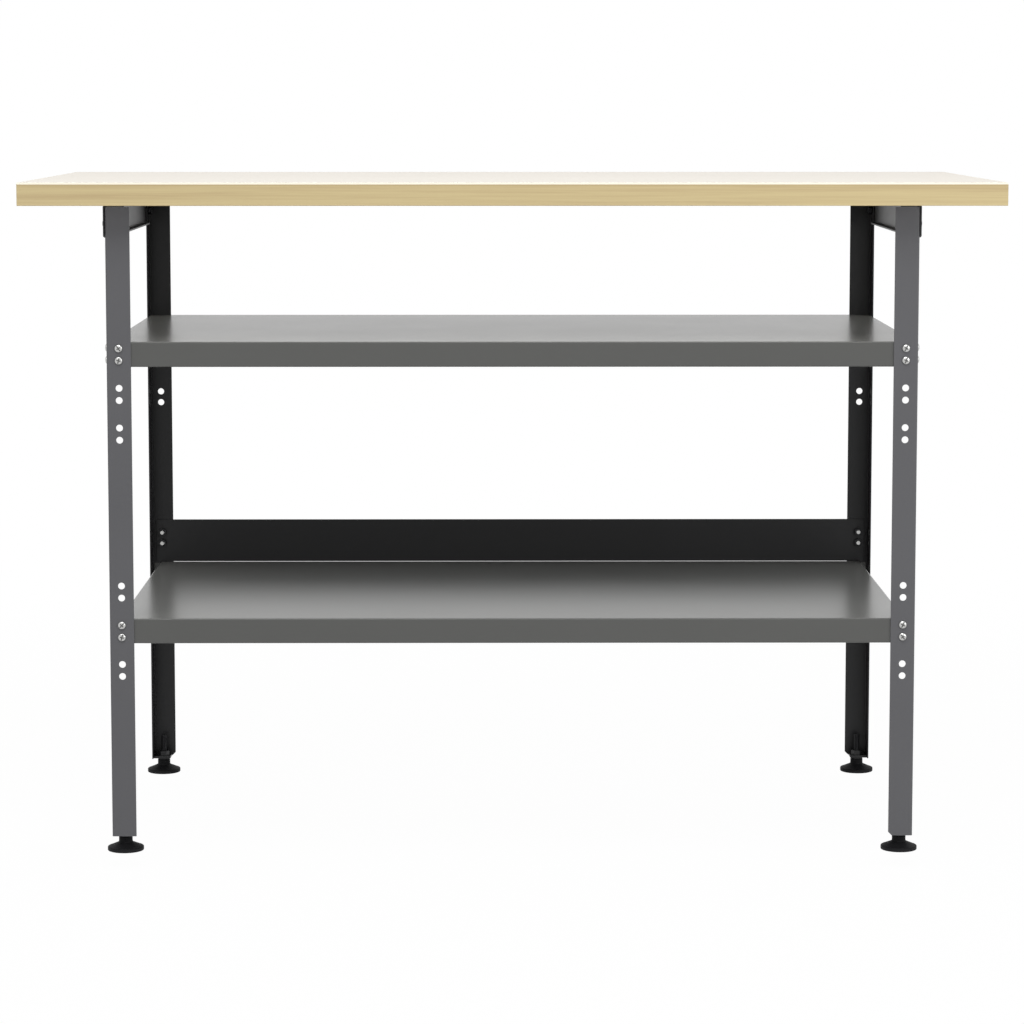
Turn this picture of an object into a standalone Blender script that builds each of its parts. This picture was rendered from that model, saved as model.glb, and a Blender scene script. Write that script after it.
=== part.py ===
"""Workshop bench: a laminated worktop on four punched angle legs, with two folded
steel shelves, a backstop above the lower one and levelling feet.

Metres, +Z up. The origin is on the floor under the middle of the worktop, +X runs
along the bench and the user stands on the -Y side.
"""

import math

import bmesh
import bpy
from mathutils import Matrix, Vector

# Worktop
TOP_LENGTH = 1.200
TOP_DEPTH = 0.600
TOP_THICKNESS = 0.028
UNDERSIDE_HEIGHT = 0.804
BAND_THICKNESS = 0.002
BAND_EDGE_RADIUS = 0.0008

# How far the worktop stands out over the legs
SIDE_OVERHANG = 0.102
FRONT_OVERHANG = 0.037

# Leg angles
LEG_FLANGE = 0.030
LEG_SHEET = 0.0015
LEG_BEND_INSIDE = 0.0007
LEG_CHAMFER = 0.0045

# Punched holes, in pairs one above the other
HOLE_DIAMETER = 0.0085
PAIR_SPACING = 0.015
HOLE_PITCH = 0.049
TOP_PAIR_DROP = 0.183
UPPER_SHELF_LEVEL = 0
BACKSTOP_LEVEL = 6
LOWER_SHELF_LEVEL = 7
PUNCHED_LEVELS = (0, 1, 2, 6, 7, 8)
BACK_FLANGE_LEVELS = (0, 2, 6, 7, 8)

# Shelves
SHELF_SHEET = 0.001
SHELF_BEND_INSIDE = 0.001
LIP_EDGE_DISTANCE = 0.008
SHELF_RETURN = 0.012
LOWER_SHELF_SET_BACK = 0.010
CORNER_RELIEF = 0.020
EAR_CLEARANCE = 0.0015

# Backstop
BACKSTOP_HEIGHT = 0.0585
BACKSTOP_SHEET = 0.0015
BACKSTOP_SET_BACK = 0.005

# Side rails
RAIL_SHEET = 0.002
RAIL_BEND_INSIDE = 0.0003
RAIL_HEIGHT = 0.040
RAIL_FLANGE = 0.026
RAIL_LIP = 0.010
RAIL_LIP_CLEARANCE = 0.045
RAIL_CHAMFER = 0.003
RAIL_BOLT_DROP = 0.023

# Bolts with nuts
BOLT_DIAMETER = 0.006
BOLT_HEAD_DIAMETER = 0.0095
BOLT_HEAD_HEIGHT = 0.0028
RAIL_BOLT_HEAD_DIAMETER = 0.010
RAIL_BOLT_HEAD_HEIGHT = 0.0018
BOLT_TIP = 0.0015
NUT_ACROSS_FLATS = 0.010
NUT_HEIGHT = 0.005

# Wood screws through the rails
SCREW_DIAMETER = 0.004
SCREW_LENGTH = 0.018
SCREW_HEAD_DIAMETER = 0.009
SCREW_HEAD_HEIGHT = 0.0028
SCREW_SPACING = 0.150
SCREW_POSITIONS = (-1, 0, 1)

# Levelling feet
FOOT_HEIGHT = 0.020
PAD_DIAMETER = 0.045
PAD_RIM_HEIGHT = 0.0040
PAD_RIM_CHAMFER = 0.0008
PAD_EDGE_WIDTH = 0.0015
PAD_EDGE_HEIGHT = 0.0012
PAD_CONE_RISE = 0.0048
PAD_SHOULDER_DIAMETER = 0.0192
HUB_DIAMETER = 0.017
HUB_FLARE = 0.0025
PAD_SOCKET_FLOOR = 0.005
STUD_DIAMETER = 0.008
STUD_LENGTH = 0.046
STUD_CHAMFER = 0.001
FOOT_PLATE_THICKNESS = 0.003
FOOT_PLATE_SET_BACK = 0.005
WELD_NUT_ACROSS_FLATS = 0.013
WELD_NUT_HEIGHT = 0.0065
WELD_BOSS_DIAMETER = 0.017
WELD_BOSS_HEIGHT = 0.002
STUD_CLEARANCE = 0.0003

# The gap between pieces that touch
TOUCH = 0.0003

# How finely round shapes are divided
HOLE_SIDES = 12
BOLT_SIDES = 10
TURNED_SIDES = 24

# How far a cutter runs past a wall, how far a joined piece runs into its neighbour,
# and how far its faces lie inside the faces that they continue
CUT_MARGIN = 0.002
WELD_DEPTH = 0.0005
SEAM_STEP = 0.0001

# Where pieces meet, worked out from the sizes above
FRAME_WIDTH = TOP_LENGTH - 2 * SIDE_OVERHANG
FRAME_DEPTH = TOP_DEPTH - 2 * FRONT_OVERHANG
LEG_BOTTOM = FOOT_HEIGHT
RAIL_TOP = UNDERSIDE_HEIGHT - TOUCH
LEG_TOP = RAIL_TOP - RAIL_SHEET - TOUCH
HOLE_INSET = LEG_FLANGE / 2
HOLE_X = FRAME_WIDTH / 2 - HOLE_INSET
HOLE_Y = FRAME_DEPTH / 2 - HOLE_INSET
SHELF_HALF_X = FRAME_WIDTH / 2 - LEG_SHEET - TOUCH
SHELF_HALF_Y = FRAME_DEPTH / 2 - LEG_SHEET - TOUCH
RAIL_OUTSIDE = FRAME_WIDTH / 2 + TOUCH + RAIL_SHEET
RAIL_BOTTOM = UNDERSIDE_HEIGHT - RAIL_HEIGHT
RAIL_BOLT_HEIGHT = UNDERSIDE_HEIGHT - RAIL_BOLT_DROP
SHELF_LIP = PAIR_SPACING + 2 * LIP_EDGE_DISTANCE

CORNERS = {
    "front_left": (-1, -1),
    "front_right": (1, -1),
    "back_left": (-1, 1),
    "back_right": (1, 1),
}
# The front left leg is cut square at the foot, and the other three have a chamfer
CHAMFERED_LEGS = ("front_right", "back_left", "back_right")


def level_height(level):
    """Height of the middle of a pair of holes, counted down from the top pair."""
    return UNDERSIDE_HEIGHT - TOP_PAIR_DROP - level * HOLE_PITCH


def pair_heights(level):
    """Heights of the two holes of a pair."""
    middle = level_height(level)
    return (middle - PAIR_SPACING / 2, middle + PAIR_SPACING / 2)


def clear_scene():
    """Remove whatever the scene holds, and return the two collections."""
    for obj in list(bpy.data.objects):
        bpy.data.objects.remove(obj, do_unlink=True)
    parts = bpy.data.collections.new("workbench")
    cutters = bpy.data.collections.new("cutters")
    bpy.context.scene.collection.children.link(parts)
    bpy.context.scene.collection.children.link(cutters)
    return parts, cutters


def make_material(name, colour, roughness, metallic):
    """A Principled BSDF material."""
    material = bpy.data.materials.new(name)
    material.use_nodes = True
    shader = material.node_tree.nodes["Principled BSDF"]
    shader.inputs["Base Color"].default_value = (*colour, 1.0)
    shader.inputs["Roughness"].default_value = roughness
    shader.inputs["Metallic"].default_value = metallic
    return material


PARTS, CUTTERS = clear_scene()

LAMINATE = make_material("pale_laminate", (0.80, 0.79, 0.74), 0.45, 0.0)
EDGE_GRAIN = make_material("wood_grain_band", (0.61, 0.48, 0.29), 0.55, 0.0)
GREY_PAINT = make_material("grey_paint", (0.12, 0.12, 0.12), 0.40, 0.0)
DARK_PAINT = make_material("dark_paint", (0.024, 0.024, 0.025), 0.40, 0.0)
ZINC = make_material("bright_zinc", (0.72, 0.72, 0.70), 0.28, 1.0)
BLACK_STEEL = make_material("black_steel", (0.030, 0.030, 0.032), 0.45, 0.5)
BLACK_PLASTIC = make_material("black_plastic", (0.018, 0.018, 0.019), 0.50, 0.0)


def mesh_from(bm, name):
    """Turn a bmesh into a mesh with its faces pointing out."""
    bmesh.ops.recalc_face_normals(bm, faces=bm.faces)
    mesh = bpy.data.meshes.new(name)
    bm.to_mesh(mesh)
    bm.free()
    return mesh


def add_piece(name, mesh, material, location=(0, 0, 0)):
    """Put a mesh in the workbench as a named sub-part."""
    obj = bpy.data.objects.new(name, mesh)
    obj.location = location
    obj.data.materials.clear()
    obj.data.materials.append(material)
    PARTS.objects.link(obj)
    return obj


def add_cutter(name, mesh):
    """Put a mesh among the cutters, which are drawn as wire and left out of the model."""
    obj = bpy.data.objects.new(name, mesh)
    obj.display_type = "WIRE"
    obj.hide_render = True
    CUTTERS.objects.link(obj)
    return obj


def ordered(first, second):
    """The low and high corners of the box between two points."""
    low = tuple(min(a, b) for a, b in zip(first, second))
    high = tuple(max(a, b) for a, b in zip(first, second))
    return low, high


def add_box(bm, low, high):
    """Add a box between two corners to a bmesh, and return its vertices."""
    low, high = Vector(low), Vector(high)
    size = high - low
    place = Matrix.Translation((low + high) / 2) @ Matrix.Diagonal((*size, 1))
    return bmesh.ops.create_cube(bm, size=1, matrix=place)["verts"]


def add_rod(bm, start, end, radius, sides):
    """Add a closed cylinder between two points to a bmesh."""
    start, end = Vector(start), Vector(end)
    along = end - start
    turn = along.to_track_quat("Z", "Y").to_matrix().to_4x4()
    place = Matrix.Translation((start + end) / 2) @ turn
    bmesh.ops.create_cone(
        bm, cap_ends=True, segments=sides, radius1=radius, radius2=radius,
        depth=along.length, matrix=place,
    )


def box_mesh(name, low, high):
    """A mesh that is one box."""
    bm = bmesh.new()
    add_box(bm, low, high)
    return mesh_from(bm, name)


def boolean(obj, other, operation, solver="EXACT"):
    """Cut or join one object with another.

    The long punched flanges of the legs need the MANIFOLD solver to stay closed.
    """
    modifier = obj.modifiers.new(other.name, "BOOLEAN")
    modifier.operation = operation
    modifier.object = other
    modifier.solver = solver


def smooth(mesh, angle=math.radians(35)):
    """Shade a round piece smooth and keep its edges."""
    mesh.shade_smooth()
    mesh.set_sharp_from_angle(angle=angle)


def apply_modifiers(obj):
    """Give the object the mesh that its modifiers make."""
    graph = bpy.context.evaluated_depsgraph_get()
    mesh = bpy.data.meshes.new_from_object(obj.evaluated_get(graph))
    obj.modifiers.clear()
    obj.data = mesh
    return mesh


def turned_mesh(name, profile, sides):
    """A closed turned mesh from a profile of (radius, height) points.

    The profile starts and ends on the axis and runs down its outer side.
    """
    bm = bmesh.new()
    points = [bm.verts.new((radius, 0, height)) for radius, height in profile]
    for first, second in zip(points, points[1:]):
        bm.edges.new((first, second))
    mesh = bpy.data.meshes.new(name)
    bm.to_mesh(mesh)
    bm.free()
    obj = bpy.data.objects.new(name, mesh)
    CUTTERS.objects.link(obj)
    screw = obj.modifiers.new("turn", "SCREW")
    screw.axis = "Z"
    screw.steps = sides
    screw.render_steps = sides
    screw.use_merge_vertices = True
    screw.merge_threshold = 0.00001
    turned = apply_modifiers(obj)
    bpy.data.objects.remove(obj)
    smooth(turned)
    return turned


# Worktop


def make_worktop():
    """The board, and the four strips glued round it."""
    half_x, half_y = TOP_LENGTH / 2, TOP_DEPTH / 2
    low, high = UNDERSIDE_HEIGHT, UNDERSIDE_HEIGHT + TOP_THICKNESS
    inner_x = half_x - BAND_THICKNESS - TOUCH
    inner_y = half_y - BAND_THICKNESS - TOUCH
    board_mesh = box_mesh("board", (-inner_x, -inner_y, low), (inner_x, inner_y, high))
    board = add_piece("worktop_board", board_mesh, LAMINATE)
    boolean(board, add_cutter("screw_pilots", screw_pilots_mesh("screw_pilots")), "DIFFERENCE")
    for side, name in ((-1, "front"), (1, "back")):
        outer, inner = side * half_y, side * (half_y - BAND_THICKNESS)
        corners = ordered((-half_x, outer, low), (half_x, inner, high))
        make_band(f"edge_band_{name}", *corners, outer_face=(1, outer), round_ends=True)
    for side, name in ((-1, "left"), (1, "right")):
        outer, inner = side * half_x, side * (half_x - BAND_THICKNESS)
        corners = ordered((outer, -inner_y, low), (inner, inner_y, high))
        make_band(f"edge_band_{name}", *corners, outer_face=(0, outer), round_ends=False)


def make_band(name, low, high, outer_face, round_ends):
    """One edge strip, with the edges of its outer face rounded.

    The outer face is an axis number and the face's place along it. The upright
    edges at the strip's ends are rounded only where they are corners of the worktop.
    """
    axis, place = outer_face
    bm = bmesh.new()
    add_box(bm, low, high)
    rounded = []
    for edge in bm.edges:
        first, second = (vertex.co for vertex in edge.verts)
        on_face = abs(first[axis] - place) < TOUCH and abs(second[axis] - place) < TOUCH
        upright = abs(first.z - second.z) > TOUCH
        if on_face and (round_ends or not upright):
            rounded.append(edge)
    bmesh.ops.bevel(
        bm, geom=rounded, offset=BAND_EDGE_RADIUS, segments=2, affect="EDGES", profile=0.5,
    )
    add_piece(name, mesh_from(bm, name), EDGE_GRAIN)


# Leg angles


def leg_point(corner, from_outside_x, from_outside_y, height):
    """A point given by its distances in from the leg's two outer faces."""
    side_x, side_y = corner
    return Vector((
        side_x * (FRAME_WIDTH / 2 - from_outside_x),
        side_y * (FRAME_DEPTH / 2 - from_outside_y),
        height,
    ))


def sheet_mesh(name, outline, sweep, outward, bend_radius):
    """A folded sheet with no thickness yet: an outline of points swept along a line.

    Its folds are rounded, and its faces look outward for the Solidify modifier.
    """
    bm = bmesh.new()
    start = [bm.verts.new(point) for point in outline]
    edges = [bm.edges.new(pair) for pair in zip(start, start[1:])]
    grown = bmesh.ops.extrude_edge_only(bm, edges=edges)["geom"]
    end = [item for item in grown if isinstance(item, bmesh.types.BMVert)]
    bmesh.ops.translate(bm, verts=end, vec=sweep)
    folds = [edge for edge in bm.edges if len(edge.link_faces) == 2]
    bmesh.ops.bevel(
        bm, geom=folds, offset=bend_radius, segments=3, affect="EDGES", profile=0.5,
    )
    bm.normal_update()
    for face in bm.faces:
        if face.normal.dot(Vector(outward)) < 0:
            face.normal_flip()
    mesh = bpy.data.meshes.new(name)
    bm.to_mesh(mesh)
    bm.free()
    return mesh


def give_thickness(obj, sheet):
    """Turn a sheet's surface into metal of that thickness, on its inner side."""
    wall = obj.modifiers.new("sheet", "SOLIDIFY")
    wall.thickness = sheet
    wall.offset = -1
    wall.use_even_offset = True


def leg_angle_mesh(name, corner):
    """The folded angle of one leg."""
    outline = (
        leg_point(corner, LEG_FLANGE, 0, LEG_BOTTOM),
        leg_point(corner, 0, 0, LEG_BOTTOM),
        leg_point(corner, 0, LEG_FLANGE, LEG_BOTTOM),
    )
    sweep = (0, 0, LEG_TOP - LEG_BOTTOM)
    return sheet_mesh(name, outline, sweep, (*corner, 0), LEG_BEND_INSIDE + LEG_SHEET)


def leg_holes_mesh(name, corner):
    """Cutters for the pairs of holes on both flanges and the rail bolt's hole."""
    bm = bmesh.new()
    deep = LEG_SHEET + CUT_MARGIN
    face_levels = PUNCHED_LEVELS if corner[1] < 0 else BACK_FLANGE_LEVELS
    for height in [height for level in face_levels for height in pair_heights(level)]:
        outside = leg_point(corner, HOLE_INSET, -CUT_MARGIN, height)
        inside = leg_point(corner, HOLE_INSET, deep, height)
        add_rod(bm, outside, inside, HOLE_DIAMETER / 2, HOLE_SIDES)
    side_heights = [height for level in PUNCHED_LEVELS for height in pair_heights(level)]
    for height in side_heights + [RAIL_BOLT_HEIGHT]:
        outside = leg_point(corner, -CUT_MARGIN, HOLE_INSET, height)
        inside = leg_point(corner, deep, HOLE_INSET, height)
        add_rod(bm, outside, inside, HOLE_DIAMETER / 2, HOLE_SIDES)
    return mesh_from(bm, name)


def foot_plate_mesh(name, corner):
    """The plate welded into the foot of the angle, which carries the weld nut."""
    bm = bmesh.new()
    start = LEG_SHEET - WELD_DEPTH
    end = LEG_FLANGE - FOOT_PLATE_SET_BACK
    plate_top = LEG_BOTTOM + FOOT_PLATE_THICKNESS
    near = leg_point(corner, start, start, LEG_BOTTOM)
    far = leg_point(corner, end, end, plate_top)
    add_box(bm, *ordered(near, far))
    return mesh_from(bm, name)


def weld_nut_mesh(name, corner):
    """The hexagon nut above the plate and its round boss below it."""
    bm = bmesh.new()
    third = FOOT_PLATE_THICKNESS / 3
    plate_top = LEG_BOTTOM + FOOT_PLATE_THICKNESS
    add_rod(
        bm,
        leg_point(corner, HOLE_INSET, HOLE_INSET, LEG_BOTTOM - WELD_BOSS_HEIGHT),
        leg_point(corner, HOLE_INSET, HOLE_INSET, LEG_BOTTOM + third),
        WELD_BOSS_DIAMETER / 2, TURNED_SIDES,
    )
    add_rod(
        bm,
        leg_point(corner, HOLE_INSET, HOLE_INSET, plate_top - third),
        leg_point(corner, HOLE_INSET, HOLE_INSET, plate_top + WELD_NUT_HEIGHT),
        WELD_NUT_ACROSS_FLATS / math.sqrt(3), 6,
    )
    return mesh_from(bm, name)


def stud_hole_mesh(name, corner):
    """The cutter for the hole that the foot's stud runs in."""
    bm = bmesh.new()
    nut_top = LEG_BOTTOM + FOOT_PLATE_THICKNESS + WELD_NUT_HEIGHT
    add_rod(
        bm,
        leg_point(corner, HOLE_INSET, HOLE_INSET, LEG_BOTTOM - WELD_BOSS_HEIGHT - CUT_MARGIN),
        leg_point(corner, HOLE_INSET, HOLE_INSET, nut_top + CUT_MARGIN),
        STUD_DIAMETER / 2 + STUD_CLEARANCE, TURNED_SIDES,
    )
    return mesh_from(bm, name)


def leg_chamfer_mesh(name, corner):
    """The cutter for the chamfer at the foot of the front or back flange's free edge."""
    bm = bmesh.new()
    side = LEG_CHAMFER * math.sqrt(2)
    place = Matrix.Translation(leg_point(corner, LEG_FLANGE, LEG_SHEET / 2, LEG_BOTTOM))
    turn = Matrix.Rotation(math.radians(45), 4, "Y")
    size = Matrix.Diagonal((side, LEG_SHEET + 2 * CUT_MARGIN, side, 1))
    bmesh.ops.create_cube(bm, size=1, matrix=place @ turn @ size)
    return mesh_from(bm, name)


def make_leg(name, corner):
    """One leg: the folded angle, its foot plate and weld nut, and its holes."""
    paint = GREY_PAINT if corner[1] < 0 else DARK_PAINT
    leg = add_piece(f"leg_{name}", leg_angle_mesh(f"leg_{name}", corner), paint)
    give_thickness(leg, LEG_SHEET)
    plate = add_cutter(f"{name}_foot_plate", foot_plate_mesh("foot_plate", corner))
    nut = add_cutter(f"{name}_weld_nut", weld_nut_mesh("weld_nut", corner))
    stud_hole = add_cutter(f"{name}_stud_hole", stud_hole_mesh("stud_hole", corner))
    holes = add_cutter(f"{name}_leg_holes", leg_holes_mesh("leg_holes", corner))
    boolean(leg, plate, "UNION")
    boolean(leg, nut, "UNION")
    boolean(leg, stud_hole, "DIFFERENCE")
    boolean(leg, holes, "DIFFERENCE", "MANIFOLD")
    if name in CHAMFERED_LEGS:
        chamfer = add_cutter(f"{name}_chamfer", leg_chamfer_mesh("leg_chamfer", corner))
        boolean(leg, chamfer, "DIFFERENCE")


# Shelves and backstop


def corner_rods(bm, side, heights, along, start, end):
    """Rods through a lip at both of its ends, at the given heights."""
    for height in heights:
        for end_sign in (-1, 1):
            if along == "X":
                first = (end_sign * HOLE_X, side * start, height)
                second = (end_sign * HOLE_X, side * end, height)
            else:
                first = (side * start, end_sign * HOLE_Y, height)
                second = (side * end, end_sign * HOLE_Y, height)
            add_rod(bm, first, second, HOLE_DIAMETER / 2, HOLE_SIDES)


def tray_mesh(name, half_x, half_y, low, high, radius):
    """A box whose edges are rounded where a tray is bent: all but the foot of its ends."""
    bm = bmesh.new()
    add_box(bm, (-half_x, -half_y, low), (half_x, half_y, high))
    bends = []
    for edge in bm.edges:
        first, second = (vertex.co for vertex in edge.verts)
        at_foot = abs(first.z - low) < TOUCH and abs(second.z - low) < TOUCH
        along_y = abs(first.y - second.y) > TOUCH
        if not (at_foot and along_y):
            bends.append(edge)
    bmesh.ops.bevel(bm, geom=bends, offset=radius, segments=3, affect="EDGES", profile=0.5)
    return mesh_from(bm, name)


def shelf_mouth_mesh(name, half_x, low):
    """The cutter for the opening between the returned edges, at the shelf's underside."""
    inner_x = half_x - SHELF_SHEET
    inner_y = SHELF_HALF_Y - SHELF_RETURN
    bottom, top = low - CUT_MARGIN, low + SHELF_SHEET + CUT_MARGIN
    return box_mesh(name, (-inner_x, -inner_y, bottom), (inner_x, inner_y, top))


def shelf_holes_mesh(name, level, side_holes):
    """Cutters for the bolt holes in a shelf's lips."""
    bm = bmesh.new()
    heights = pair_heights(level)
    deep = SHELF_SHEET + CUT_MARGIN
    for side in (-1, 1):
        corner_rods(bm, side, heights, "X", SHELF_HALF_Y + CUT_MARGIN, SHELF_HALF_Y - deep)
        if side_holes:
            corner_rods(bm, side, heights, "Y", SHELF_HALF_X + CUT_MARGIN, SHELF_HALF_X - deep)
    return mesh_from(bm, name)


def shelf_ears_mesh(name, half_x, low, high):
    """The ends of the front and back lips, which run on past a narrow shelf's sides."""
    bm = bmesh.new()
    bend = SHELF_BEND_INSIDE + SHELF_SHEET
    bottom, top = low + bend + SEAM_STEP, high - bend - SEAM_STEP
    inner_x, inner_y = half_x - bend - WELD_DEPTH, SHELF_HALF_Y - SHELF_SHEET + SEAM_STEP
    end_x, outer_y = SHELF_HALF_X - EAR_CLEARANCE, SHELF_HALF_Y - SEAM_STEP
    for side_x in (-1, 1):
        for side_y in (-1, 1):
            near = (side_x * inner_x, side_y * inner_y, bottom)
            far = (side_x * end_x, side_y * outer_y, top)
            add_box(bm, *ordered(near, far))
    return mesh_from(bm, name)


def shelf_relief_mesh(name, half_x, low, high):
    """Cutters that shorten a narrow shelf's side lips, to leave room for its nuts."""
    bm = bmesh.new()
    bend = SHELF_BEND_INSIDE + SHELF_SHEET + SEAM_STEP
    bottom, top = low - CUT_MARGIN, high - bend
    inner_y = SHELF_HALF_Y - SHELF_SHEET - SEAM_STEP
    for side_x in (-1, 1):
        for side_y in (-1, 1):
            near = (side_x * (half_x - bend), side_y * inner_y, bottom)
            far = (side_x * (half_x + CUT_MARGIN), side_y * (inner_y - CORNER_RELIEF), top)
            add_box(bm, *ordered(near, far))
    return mesh_from(bm, name)


def make_shelf(name, level, half_x):
    """A folded tray whose lips turn down, bolted at one level of the legs' holes."""
    low = level_height(level) - SHELF_LIP / 2
    high = low + SHELF_LIP
    bend = SHELF_BEND_INSIDE + SHELF_SHEET
    shelf = add_piece(
        name, tray_mesh(name, half_x, SHELF_HALF_Y, low, high, bend), GREY_PAINT,
    )
    hollow_mesh = tray_mesh(
        "hollow", half_x - SHELF_SHEET, SHELF_HALF_Y - SHELF_SHEET,
        low + SHELF_SHEET, high - SHELF_SHEET, SHELF_BEND_INSIDE,
    )
    hollow = add_cutter(f"{name}_hollow", hollow_mesh)
    mouth = add_cutter(f"{name}_mouth", shelf_mouth_mesh("mouth", half_x, low))
    boolean(shelf, hollow, "DIFFERENCE")
    boolean(shelf, mouth, "DIFFERENCE")
    reaches_legs = half_x == SHELF_HALF_X
    if not reaches_legs:
        ears = add_cutter(f"{name}_ears", shelf_ears_mesh("ears", half_x, low, high))
        relief = add_cutter(f"{name}_relief", shelf_relief_mesh("relief", half_x, low, high))
        boolean(shelf, ears, "UNION")
        boolean(shelf, relief, "DIFFERENCE")
    holes = add_cutter(f"{name}_holes", shelf_holes_mesh("shelf_holes", level, reaches_legs))
    boolean(shelf, holes, "DIFFERENCE")


def make_backstop():
    """The strip across the back legs, just above the lower shelf."""
    shelf_top = level_height(LOWER_SHELF_LEVEL) + SHELF_LIP / 2
    low = shelf_top + TOUCH
    half_x = SHELF_HALF_X - BACKSTOP_SET_BACK
    mesh = box_mesh(
        "backstop",
        (-half_x, SHELF_HALF_Y - BACKSTOP_SHEET, low),
        (half_x, SHELF_HALF_Y, low + BACKSTOP_HEIGHT),
    )
    backstop = add_piece("backstop", mesh, DARK_PAINT)
    bm = bmesh.new()
    corner_rods(
        bm, 1, pair_heights(BACKSTOP_LEVEL), "X",
        SHELF_HALF_Y + CUT_MARGIN, SHELF_HALF_Y - BACKSTOP_SHEET - CUT_MARGIN,
    )
    holes = add_cutter("backstop_holes", mesh_from(bm, "backstop_holes"))
    boolean(backstop, holes, "DIFFERENCE")


# Side rails


def rail_sheet_mesh(name, side):
    """The rail's top flange and its web."""
    front = -FRAME_DEPTH / 2
    outline = (
        (side * (RAIL_OUTSIDE - RAIL_FLANGE), front, RAIL_TOP),
        (side * RAIL_OUTSIDE, front, RAIL_TOP),
        (side * RAIL_OUTSIDE, front, RAIL_BOTTOM),
    )
    sweep = (0, FRAME_DEPTH, 0)
    return sheet_mesh(name, outline, sweep, (side, 0, 1), RAIL_BEND_INSIDE + RAIL_SHEET)


def rail_lip_mesh(name, side):
    """The lip at the foot of the web, which stops short of the legs."""
    lip_end = FRAME_DEPTH / 2 - LEG_FLANGE - RAIL_LIP_CLEARANCE
    bottom, top = RAIL_BOTTOM + SEAM_STEP, RAIL_BOTTOM + RAIL_SHEET
    near = (side * (RAIL_OUTSIDE - WELD_DEPTH), -lip_end, bottom)
    far = (side * (RAIL_OUTSIDE - RAIL_SHEET - RAIL_LIP), lip_end, top)
    return box_mesh(name, *ordered(near, far))


def rail_holes_mesh(name, side):
    """Cutters for a rail's bolt holes, its screw holes and the chamfers at its ends."""
    bm = bmesh.new()
    outside = RAIL_OUTSIDE + CUT_MARGIN
    inside = RAIL_OUTSIDE - RAIL_SHEET - CUT_MARGIN
    chamfer_side = RAIL_CHAMFER * math.sqrt(2)
    turn = Matrix.Rotation(math.radians(45), 4, "X")
    size = Matrix.Diagonal((outside - inside, chamfer_side, chamfer_side, 1))
    for end in (-1, 1):
        outer_point = (side * outside, end * HOLE_Y, RAIL_BOLT_HEIGHT)
        inner_point = (side * inside, end * HOLE_Y, RAIL_BOLT_HEIGHT)
        add_rod(bm, outer_point, inner_point, HOLE_DIAMETER / 2, HOLE_SIDES)
        middle = side * (outside + inside) / 2
        place = Matrix.Translation((middle, end * FRAME_DEPTH / 2, RAIL_BOTTOM))
        bmesh.ops.create_cube(bm, size=1, matrix=place @ turn @ size)
    for x, y in screw_places(side):
        low = (x, y, RAIL_TOP - RAIL_SHEET - CUT_MARGIN)
        high = (x, y, RAIL_TOP + CUT_MARGIN)
        add_rod(bm, low, high, SCREW_DIAMETER / 2 + TOUCH, HOLE_SIDES)
    return mesh_from(bm, name)


def make_rail(name, side):
    """One side rail, outside the legs under the worktop."""
    rail = add_piece(f"side_rail_{name}", rail_sheet_mesh("side_rail", side), DARK_PAINT)
    give_thickness(rail, RAIL_SHEET)
    lip = add_cutter(f"rail_{name}_lip", rail_lip_mesh("rail_lip", side))
    holes = add_cutter(f"rail_{name}_holes", rail_holes_mesh("rail_holes", side))
    boolean(rail, lip, "UNION")
    boolean(rail, holes, "DIFFERENCE")


# Fasteners


def screw_places(side):
    """Where the wood screws go through one rail, in the middle of its top flange."""
    x = side * (RAIL_OUTSIDE - RAIL_FLANGE / 2)
    return [(x, position * SCREW_SPACING) for position in SCREW_POSITIONS]


def screw_pilots_mesh(name):
    """Cutters for the holes that the wood screws fill in the board."""
    bm = bmesh.new()
    tip = RAIL_TOP - RAIL_SHEET + SCREW_LENGTH
    for side in (-1, 1):
        for x, y in screw_places(side):
            low = (x, y, UNDERSIDE_HEIGHT - CUT_MARGIN)
            high = (x, y, tip + TOUCH)
            add_rod(bm, low, high, SCREW_DIAMETER / 2 + TOUCH, HOLE_SIDES)
    return mesh_from(bm, name)


def make_wood_screws():
    """Pan head screws, driven up through the rails' top flanges."""
    radius, head = SCREW_DIAMETER / 2, SCREW_HEAD_DIAMETER / 2
    profile = (
        (0, SCREW_LENGTH),
        (radius, SCREW_LENGTH - SCREW_DIAMETER),
        (radius, -TOUCH),
        (head, -TOUCH),
        (head, -TOUCH - SCREW_HEAD_HEIGHT / 3),
        (head * 0.6, -TOUCH - SCREW_HEAD_HEIGHT),
        (0, -TOUCH - SCREW_HEAD_HEIGHT),
    )
    mesh = turned_mesh("wood_screw", profile, HOLE_SIDES)
    for side, name in ((-1, "left"), (1, "right")):
        for number, (x, y) in enumerate(screw_places(side), start=1):
            point = (x, y, RAIL_TOP - RAIL_SHEET)
            add_piece(f"wood_screw_{name}_{number}", mesh, ZINC, point)


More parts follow.
